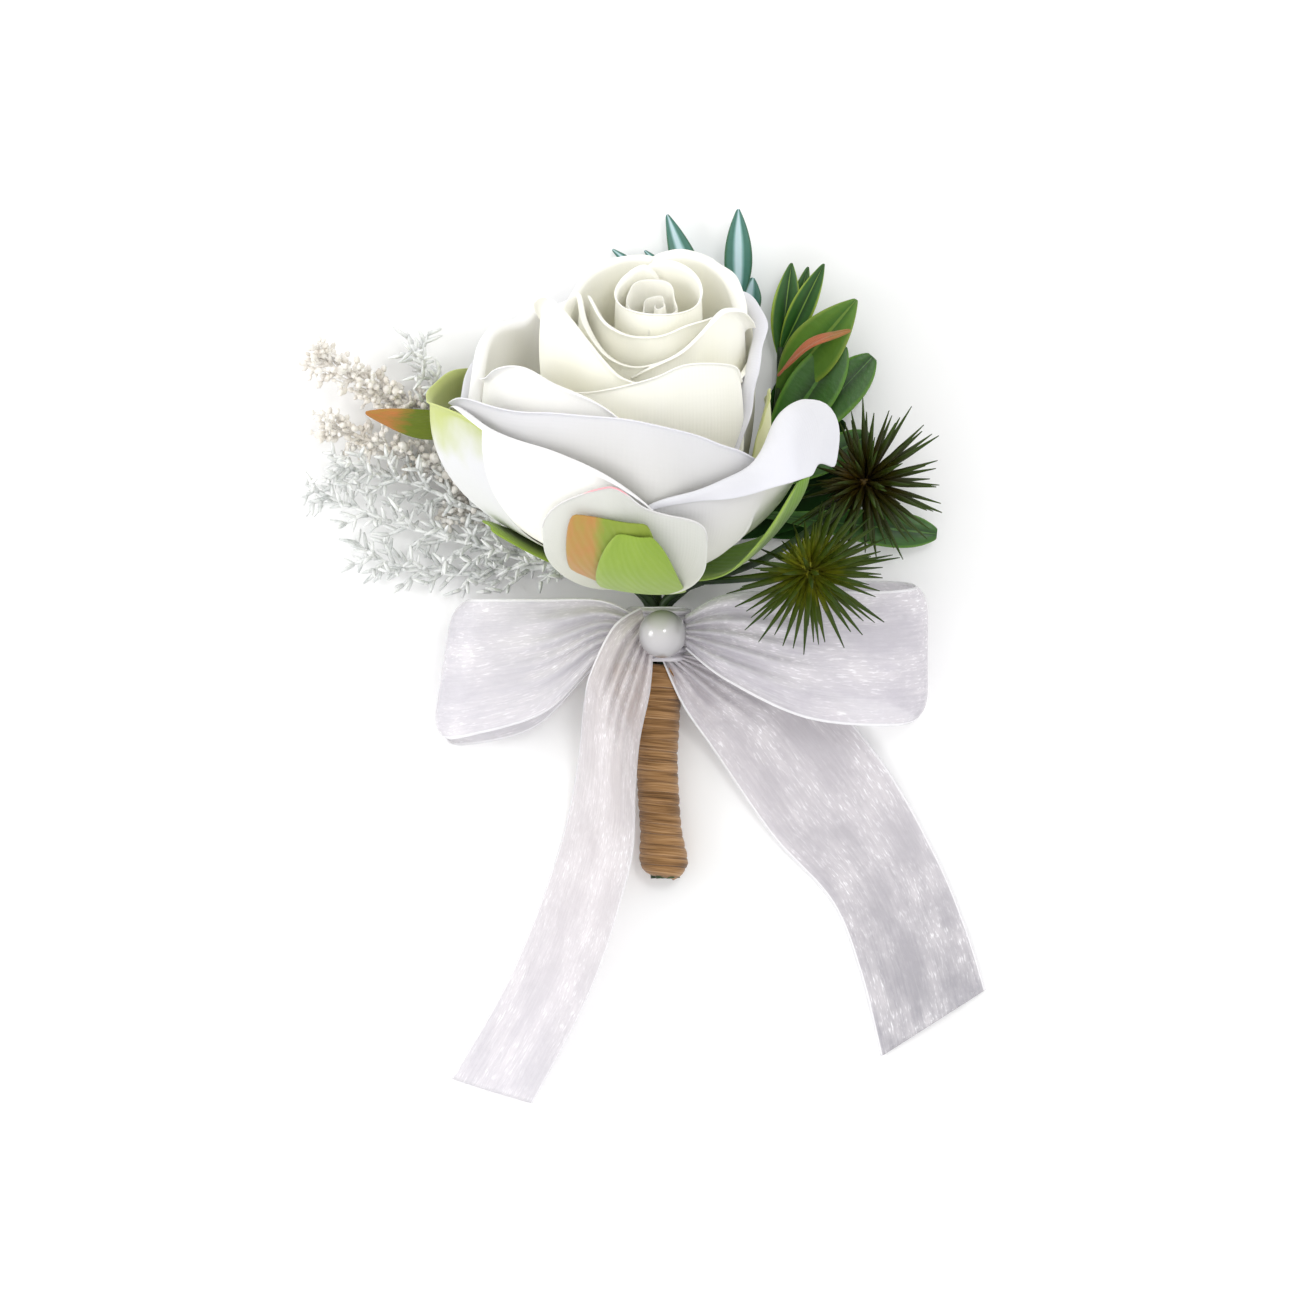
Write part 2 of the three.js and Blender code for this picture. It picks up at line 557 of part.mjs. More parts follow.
const SILVER_SPRAY = {
  route: [[-4, 7.6, 8.8], [-8, 9.4, 8.4], [-14, 11.8, 7]],
  branches: [
    { line: [[-8, 9.4, 8.4], [-14, 11.8, 7], [-28, 14.2, 5], [-44, 18.4, 5.4], [-58, 24, 8]] },
    { line: [[-14, 11.8, 7], [-26, 10.6, 3.6], [-38, 10.2, 3], [-49, 13, 5]], from: 0.25 },
    { line: [[-14, 11.8, 7], [-27, 18.6, 4.4], [-42, 25.4, 5], [-53, 27.6, 8]], from: 0.35 },
    { line: [[-11, 10.6, 7.7], [-20, 18.6, 3.8], [-31, 31, 2.7], [-36, 38.5, 4], [-41, 47, 8]],
      from: 0.72 },
  ],
};
const CREAM_SPRAY = {
  bud: 1,
  route: [[-2.8, 8, 3.8], [-7.5, 14, 2.2], [-14, 22, 1.3], [-21, 28, 1.2], [-29, 34, 1.1]],
  branches: [
    { line: [[-21, 28, 1.2], [-29, 34, 1.1], [-36, 36.6, 1.3], [-46, 40, 5], [-57, 45.8, 9]],
      from: 0.55 },
    { line: [[-14, 22, 1.3], [-24, 25.6, 1.4], [-36, 27.6, 2], [-55, 34.8, 7]], from: 0.5 },
    { line: [[-14, 22, 1.3], [-24, 21.6, 1.4], [-35, 20.4, 1.8]], from: 0.5, ends: 0.7 },
  ],
};

// ---------------------------------------------------------------- the bow

// A stretch of ribbon between two edge lines. bulge lifts its middle off the straight.
function ribbon(leftEdge, rightEdge, along, bulge = 0, across = 4) {
  const [left, right] = [spline(leftEdge), spline(rightEdge)];
  const surface = (u, v) => {
    const at = left.getPoint(v).lerp(right.getPoint(v), (u + 1) / 2);
    return at.add(new THREE.Vector3(0, 0, bulge * smooth(Math.min(1, 4 * v)) * (1 - u * u)));
  };
  return solid(blade(surface, across, along, RIBBON_THICKNESS));
}
const LOOP_LEFT = {
  top: [
    [-4.1, 3, 13.4], [-10, 5.6, 14.4], [-20, 5.8, 15.2], [-30, 5.8, 14.2], [-34.6, 5.7, 9.8],
    [-31, 5.4, 5.2], [-20, 5.2, 4.4], [-10, 4.6, 7.4], [-4.3, 2.6, 11.2],
  ],
  bottom: [
    [-4.1, -2.4, 13.4], [-10.4, -4.4, 14.2], [-19.6, -13.2, 14.8], [-31, -15.6, 13.8],
    [-37.6, -17, 9.4], [-33, -18.4, 4.8], [-21, -15.6, 4.2], [-11, -5.6, 7.2], [-4.3, -2, 11.2],
  ],
};
const LOOP_RIGHT = {
  top: [
    [4.1, 3, 13.4], [11, 6.6, 14.4], [24, 7.2, 14.8], [38, 7.2, 14], [44.4, 8, 9.8],
    [38, 8.9, 5.4], [24, 8.4, 4.6], [11, 6, 7.2], [4.3, 2.6, 11.2],
  ],
  bottom: [
    [4.1, -2.4, 13.4], [11, -7.8, 14.2], [24, -14, 14.6], [38, -15.4, 13.8], [44.4, -14, 9.6],
    [38, -11.8, 5.2], [24, -9.2, 4.4], [11, -4.6, 7], [4.3, -2, 11.2],
  ],
};
const TAIL_LEFT = {
  outer: [
    [-3.3, 4.4, 15.8], [-7.8, 1.4, 16.8], [-11.5, -5.7, 15.6], [-12.8, -11.2, 12.4],
    [-13.8, -21.2, 5.5], [-15.7, -31.2, 1.6], [-18.7, -41.2, 0.4], [-22.5, -51.2, 0.4],
    [-27.2, -61.2, 0.4], [-35, -74.4, 0.4],
  ],
  inner: [
    [-2.9, -3.2, 15.8], [-1.4, -9.5, 14.2], [-2.4, -17.8, 12], [-4, -26.2, 11.2],
    [-4.7, -36.2, 11.2], [-6.7, -44.5, 11.2], [-9.2, -52.8, 11], [-12.5, -61.2, 11],
    [-16.7, -69.5, 10.6], [-21.5, -78.3, 10],
  ],
};
const TAIL_RIGHT = {
  inner: [
    [1, -4.9, 11.2], [5, -12, 7.6], [10, -19.5, 4], [19.6, -33.7, 1.4], [28.4, -44.5, 0.4],
    [33.2, -56.2, 0.4], [36.8, -70.7, 0.4],
  ],
  outer: [
    [4.3, -3.6, 10.4], [15.5, -5.6, 3.2], [26.5, -9.6, 1.4], [37.5, -22, 1.2], [46, -37, 1],
    [51, -49, 0.8], [54.3, -59.5, 0.6],
  ],
};
const KNOT_FRONT = 14.8;
function knot() {
  const ring = sleeve([
    [KNOT_RADIUS, -KNOT_HALF_WIDTH], [KNOT_RADIUS + 0.2, 0], [KNOT_RADIUS, KNOT_HALF_WIDTH],
    [TAPE_RADIUS + GAP, KNOT_HALF_WIDTH], [TAPE_RADIUS + GAP, 0], [TAPE_RADIUS + GAP, -KNOT_HALF_WIDTH],
  ], 14);
  const front = new THREE.SphereGeometry(1, 10, 6).scale(3.4, 4.2, 2.5).translate(0, 0, KNOT_FRONT - 2.5);
  const tucked = sleeve([[TAPE_RADIUS + GAP, -6], [TAPE_RADIUS + GAP, 6], [0, 6], [0, -6]], 14);
  return fuse([ring, solid(front).subtract(tucked)]);
}

// ---------------------------------------------------------------- the whole boutonniere

const boutonniere = new THREE.Group();
const roseRoute = (end) => [-3.4, -1, end].map((height) => aroundRose(0, 0, height).toArray());
const SOCKET_END = 1;
const socket = stem('rose', roseRoute(SOCKET_END), STEM_RADIUS + GAP);
boutonniere.add(
  named('rose_bloom', roseBloom(), petalFabric),
  named('calyx', calyx(socket), calyxFabric),
  named('rose_stem', stem('rose', roseRoute(SOCKET_END - GAP)), stemPlastic),
  named('rose_leaf', sprig('roseLeaf', ROSE_LEAF), printedLeaf),
  named('top_sprig', sprig('topSprig', TOP_SPRIG), blueGreenPlastic),
  named('green_sprig', sprig('greenSprig', GREEN_SPRIG), greenPlastic),
  named('needle_pick', needlePick(), needlePlastic),
  named('silver_spray', spray('silverSpray', SILVER_SPRAY), frostedPlastic),
  named('cream_spray', spray('creamSpray', CREAM_SPRAY), creamPlastic),
  named('floral_tape', tapeNeck(), floralTape),
  named('jute_wrap', juteWrap(), juteTwine),
  named('ribbon_knot', knot(), organza),
  named('ribbon_loop_left', ribbon(LOOP_LEFT.top, LOOP_LEFT.bottom, 20), organza),
  named('ribbon_loop_right', ribbon(LOOP_RIGHT.bottom, LOOP_RIGHT.top, 20), organza),
  named('ribbon_tail_left', ribbon(TAIL_LEFT.outer, TAIL_LEFT.inner, 16, 1.5), organza),
  named('ribbon_tail_right', ribbon(TAIL_RIGHT.inner, TAIL_RIGHT.outer, 14, 1.2), organza),
  named('pearl', solid(new THREE.SphereGeometry(PEARL_RADIUS, 16, 12)), pearlCoat),
);
boutonniere.getObjectByName('pearl').position.set(0.2, 0, KNOT_FRONT + PEARL_RADIUS + 0.3);

// The origin is in the middle of the footprint, on the table.
const box = new THREE.Box3().setFromObject(boutonniere, true);
const middle = box.getCenter(new THREE.Vector3());
boutonniere.position.set(-middle.x, -middle.y, -box.min.z);

export default boutonniere;
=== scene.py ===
"""A boutonniere lying on its back: a white fabric rose with its calyx, leafy sprigs, a needle pick,
frosted sprays, an organza bow with a pearl, and a handle of jute twine.

Lengths are millimetres with the origin on the table under the pearl, +Z up and +Y towards the
flower, as in the part's source. placed() turns such a point into the frame's metres.
"""
import math
import random

import bpy
from mathutils import Matrix, Vector


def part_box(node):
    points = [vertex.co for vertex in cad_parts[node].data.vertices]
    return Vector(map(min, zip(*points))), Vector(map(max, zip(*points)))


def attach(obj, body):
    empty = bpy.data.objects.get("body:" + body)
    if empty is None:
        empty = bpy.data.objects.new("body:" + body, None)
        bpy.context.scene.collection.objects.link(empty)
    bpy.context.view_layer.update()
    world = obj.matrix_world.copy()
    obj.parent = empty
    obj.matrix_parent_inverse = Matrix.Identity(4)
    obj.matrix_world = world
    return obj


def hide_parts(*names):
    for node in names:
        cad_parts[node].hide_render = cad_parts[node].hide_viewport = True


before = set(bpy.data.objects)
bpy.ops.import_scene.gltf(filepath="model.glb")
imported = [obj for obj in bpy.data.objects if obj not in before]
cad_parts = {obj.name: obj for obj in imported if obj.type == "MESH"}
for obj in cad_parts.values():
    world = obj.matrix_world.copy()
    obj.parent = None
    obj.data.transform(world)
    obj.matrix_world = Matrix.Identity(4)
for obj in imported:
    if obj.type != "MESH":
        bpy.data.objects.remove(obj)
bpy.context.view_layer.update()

# ---------------------------------------------------------------- the rose bloom
# Twenty-two petals of heat-pressed white polyester cloth, wound round a coiled heart and glued at
# the foot. The heart is ivory, the outer petals roll back at the rim, and the outermost carry a
# little lime green, beige and pink print. Most petals are painted darker and yellower towards the
# foot: partly the cloth's tint, partly painted shade deep in the cup. The cool white, lime and pink
# cloths of the outer petals are a grey white: partly a cooler white, partly painted shade.

PEARL_CENTRE = Vector((0.2, 0.0, 19.1))
SHIFT = sum(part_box("pearl"), Vector()) / 2 * 1000 - PEARL_CENTRE
TABLE_GAP = 0.05
PETAL_CLOTH = 0.26
ROSE_TILT = math.radians(33)
ROSE_BASE = Vector((-0.7, 10.0, 7.9))


def placed(point):
    """A point of this script in the frame's metres."""
    return (Vector(point) + SHIFT) / 1000


def line_at(points, share):
    """The point at a share of the smooth line through the points."""
    last = len(points) - 1
    k = min(int(share * last), last - 1)
    w = share * last - k
    before, start, end, after = (
        Vector(points[i]) for i in (max(k - 1, 0), k, k + 1, min(k + 2, last))
    )
    leave = (end - before) / 2
    arrive = (after - start) / 2
    return (
        start * (2 * w**3 - 3 * w**2 + 1) + end * (3 * w**2 - 2 * w**3)
        + leave * (w**3 - 2 * w**2 + w) + arrive * (w**3 - w**2)
    )


def line_way(points, share):
    """The direction of the line there."""
    low = max(0.0, share - 0.004)
    high = min(1.0, share + 0.004)
    return (line_at(points, high) - line_at(points, low)).normalized()


def ease(t):
    """From 0 to 1 with a soft start and end."""
    t = min(1.0, max(0.0, t))
    return t * t * (3 - 2 * t)


def round_rose(degrees, radius, height):
    """A point round the rose's axis: 0 degrees faces up and towards the handle, right is positive."""
    angle = math.radians(degrees)
    local = Vector((radius * math.sin(angle), height, radius * math.cos(angle)))
    return Matrix.Rotation(ROSE_TILT, 3, "X") @ local + ROSE_BASE


def started(name, primitive, **shape):
    """Adds a primitive with nothing else selected, and names it."""
    bpy.ops.object.select_all(action="DESELECT")
    primitive(**shape)
    piece = bpy.context.object
    piece.name = name
    piece.data.name = name
    return piece


def laid_grid(name, across, along, surface):
    """A grid laid over surface(u, v), with u from -1 to 1 and v from 0 to 1."""
    piece = started(
        name, bpy.ops.mesh.primitive_grid_add, x_subdivisions=across, y_subdivisions=along, size=2)
    for vertex in piece.data.vertices:
        vertex.co = placed(surface(vertex.co.x, (vertex.co.y + 1) / 2))
    return piece


def cloth_piece(name, across, along, surface, thickness, levels=1):
    """A laid grid with its thickness, rounded by the levels."""
    piece = laid_grid(name, across, along, surface)
    solid = piece.modifiers.new("thickness", "SOLIDIFY")
    solid.thickness = thickness / 1000
    solid.offset = 0
    if levels:
        rounded = piece.modifiers.new("rounding", "SUBSURF")
        rounded.levels = rounded.render_levels = levels
    for modifier in list(piece.modifiers):
        bpy.ops.object.modifier_apply(modifier=modifier.name)
    bpy.ops.object.shade_smooth()
    return piece


def hand_over(piece, material, node):
    """Gives a piece its material, and its place in the frame for the node that it stands for."""
    piece.data.materials.clear()
    piece.data.materials.append(material)
    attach(piece, "root")
    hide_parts(node)


def linear(colour):
    """An sRGB hex colour in Blender's linear values."""
    parts = [int(colour[k:k + 2], 16) / 255 for k in (1, 3, 5)]
    return [c / 12.92 if c <= 0.04045 else ((c + 0.055) / 1.055) ** 2.4 for c in parts] + [1.0]


def add(material, kind, *values, out=None, stops=(), **words):
    """Adds a shader node and returns its first output, or the one that out names. Values go to its
    inputs in order, words with a capital to the inputs of that name, and the rest are its settings.
    A value is a number, a hex colour or the output to link from."""
    node = material.node_tree.nodes.new("ShaderNode" + kind)
    for word, setting in words.items():
        if word.islower():
            setattr(node, word, setting)
    if stops:
        elements = node.color_ramp.elements
        while len(elements) < len(stops):
            elements.new(0.5)
        for element, (position, colour) in zip(elements, stops):
            element.position = position
            element.color = linear(colour)
    shown = [socket for socket in node.inputs if socket.enabled]
    given = [(shown[k], value) for k, value in enumerate(values)]
    given += [
        (node.inputs[word.replace("_", " ")], value) for word, value in words.items() if not word.islower()
    ]
    for socket, value in given:
        if isinstance(value, bpy.types.NodeSocket):
            material.node_tree.links.new(value, socket)
        else:
            socket.default_value = linear(value) if isinstance(value, str) else value
    if out:
        return node.outputs[out]
    return next((socket for socket in node.outputs if socket.enabled), None)


def new_material(name):
    """A material with no nodes yet."""
    material = bpy.data.materials.new(name)
    material.use_nodes = True
    material.node_tree.nodes.clear()
    return material


def finished(material, **inputs):
    """Ends a material with its Principled shader."""
    add(material, "OutputMaterial", add(material, "BsdfPrincipled", **inputs))
    return material


def petal_cloth(name, stops, printed=None):
    """Pressed polyester satin: soft and matt, a little light comes through, fine threads, faint ribs.
    The colours run from the foot to the rim. A print is a spot at a centre in the cloth's own
    square, with its two radii, its ink and how soft its edge is."""
    cloth = new_material(name)
    uv = add(cloth, "TexCoord", out="UV")
    along = add(cloth, "SeparateXYZ", uv, out="Y")
    mottle = add(cloth, "TexNoise", uv, Scale=5, Detail=3)
    uneven = add(cloth, "MapRange", mottle, To_Min=-0.07, To_Max=0.07)
    shifted = add(cloth, "Math", along, uneven, operation="ADD")
    colour = add(cloth, "ValToRGB", shifted, stops=stops)
    if printed:
        centre, radii, ink, softness = printed
        spot = add(cloth, "Mapping", uv, vector_type="TEXTURE", Location=(*centre, 0), Scale=(*radii, 1))
        away = add(cloth, "VectorMath", spot, operation="LENGTH")
        wobble = add(cloth, "TexNoise", uv, Scale=9)
        edge = add(cloth, "Math", wobble, 0.35, away, operation="MULTIPLY_ADD")
        mask = add(
            cloth, "MapRange", edge, 1.17 - softness, 1.17 + softness, 1, 0,
            interpolation_type="SMOOTHSTEP")
        colour = add(cloth, "Mix", mask, colour, ink, data_type="RGBA")
    # The threads are 0.1 mm apart on the real cloth and are drawn at 0.6 mm, so that they show.
    threads = [
        add(cloth, "TexWave", uv, bands_direction=axis, Scale=24, Distortion=1.2, Detail=1, out="Fac")
        for axis in ("X", "Y")
    ]
    weave = add(cloth, "Math", *threads, operation="ADD")
    ribs_at = add(cloth, "Mapping", uv, Scale=(16, 1.4, 1))
    ribs = add(cloth, "TexNoise", ribs_at, Scale=1, Detail=3)
    fine = add(cloth, "Bump", Height=weave, Strength=0.12, Distance=0.00006)
    ribbed = add(cloth, "Bump", Height=ribs, Normal=fine, Strength=0.2, Distance=0.0005)
    return finished(
        cloth, Base_Color=colour, Normal=ribbed, Roughness=0.8, Specular_IOR_Level=0.2,
        Sheen_Weight=0.1, Sheen_Roughness=0.5, Subsurface_Weight=0.4, Subsurface_Radius=(1, 1, 1),
        Subsurface_Scale=0.0004)


# The stops run from the foot to the rim. The darker, yellower stops at the foot are partly the cloth's own
# tint and partly painted shade for the deep folds of the cup.
IVORY = petal_cloth(
    "petal_cloth_ivory", [(0, "#E9E3B4"), (0.4, "#FBF8E2"), (0.75, "#FEFDF2"), (1, "#FCFAF0")])
WHITE = petal_cloth(
    "petal_cloth_white", [(0, "#EEEAC6"), (0.4, "#FBF9EC"), (0.75, "#FDFCF8"), (1, "#F4F3F5")])
# These three cloths of the outer petals are grey all over and darkest, greenest at the foot: partly a cooler
# white cloth and partly painted shade. Their lime and pink spots are print.
SHADED_COOL_WHITE = petal_cloth("petal_cloth_cool_white_painted_shade", [
    (0, "#C4C8A2"), (0.3, "#CCCDC0"), (0.6, "#D6D5D3"), (0.8, "#DADADE"), (1, "#DEDEE4")])
LIME = petal_cloth(
    "petal_cloth_lime_print", [(0, "#DDE3BC"), (0.3, "#DCDED8"), (0.7, "#DADADE"), (1, "#DCDED0")],
    ((0.3, 1), (0.9, 0.4), "#BDC67E", 0.2))
PINK = petal_cloth(
    "petal_cloth_pink_print", [(0, "#BEC2A2"), (0.3, "#C9CABC"), (0.7, "#CFD0CA"), (1, "#D8D7D6")],
    ((0.42, 1), (0.12, 0.05), "#F2A9B0", 0.25))
BEIGE = petal_cloth(
    "petal_cloth_beige_print", [(0, "#D9DDA6"), (0.5, "#DCDDB0"), (0.8, "#D5D6A4"), (1, "#C9CE8E")])
RIM_AT = 0.72


def petal_surface(
    row, rim, foot=(6, 10), fullness=1.12, low=0.22, lip=(1.5, 1.5, 1.5), curl=80, tight=1.15,
    waist=0.5, spread=1.5, ruffle=0.25, fold=(0, 0),
):
    """The middle layer of one petal. Its rim runs from left to right as (degrees, radius, height)
    points; foot is where it is glued on, and fullness and low shape the cup between. Past the rim
    a lip rolls outwards by curl degrees; its lengths are given from left to right. A fold, given by
    its degrees and depth, stands out of the face."""
    draw = random.Random(100 + row)
    phases = [draw.uniform(0, 2 * math.pi) for _ in range(5)]
    foot_radius, foot_height = foot
    fold_at, fold_depth = fold
    lips = [(length, 0) for length in lip]
    centre = (rim[0][0] + rim[-1][0]) / 2

    def surface(u, v):
        degrees, rim_radius, rim_height = line_at(rim, (u + 1) / 2)
        t = min(1.0, v / RIM_AT)
        belly = (rim_radius * fullness, foot_height + (rim_height - foot_height) * low)
        radius = foot_radius * (1 - t) ** 2 + 2 * belly[0] * t * (1 - t) + rim_radius * t * t
        height = foot_height * (1 - t) ** 2 + 2 * belly[1] * t * (1 - t) + rim_height * t * t
        wide = waist + (1 - waist) * ease(min(1.0, spread * t))
        over = max(0.0, v - RIM_AT) / (1 - RIM_AT)
        if over > 0:
            start = math.atan2(rim_height - belly[1], rim_radius - belly[0])
            long = line_at(lips, (u + 1) / 2).x * (1 + 0.1 * math.sin(6.3 * u + phases[0]))
            rolled = math.radians(curl) * (1 + 0.12 * math.sin(4.7 * u + phases[1]))
            steps = 8
            for k in range(steps):
                along = over * (k + 0.5) / steps
                angle = start - rolled * (1 - (1 - along) ** tight)
                radius += math.cos(angle) * long * over / steps
                height += math.sin(angle) * long * over / steps
        up = t * t * (1 + 0.6 * over)
        crease = math.sin(3.1 * u + phases[2]) + 0.45 * math.sin(7.3 * u + 2 * v + phases[3])
        radius += fold_depth * math.exp(-(((degrees - fold_at) / 9) ** 2) - ((t - 0.72) / 0.15) ** 2)
        radius += ruffle * up * (crease + 0.3 * over * math.sin(15 * u + phases[4]))
        place = round_rose(centre + (degrees - centre) * wide, radius, height)
        place.z = max(place.z, PETAL_CLOTH / 2 + TABLE_GAP)
        return place

    return surface


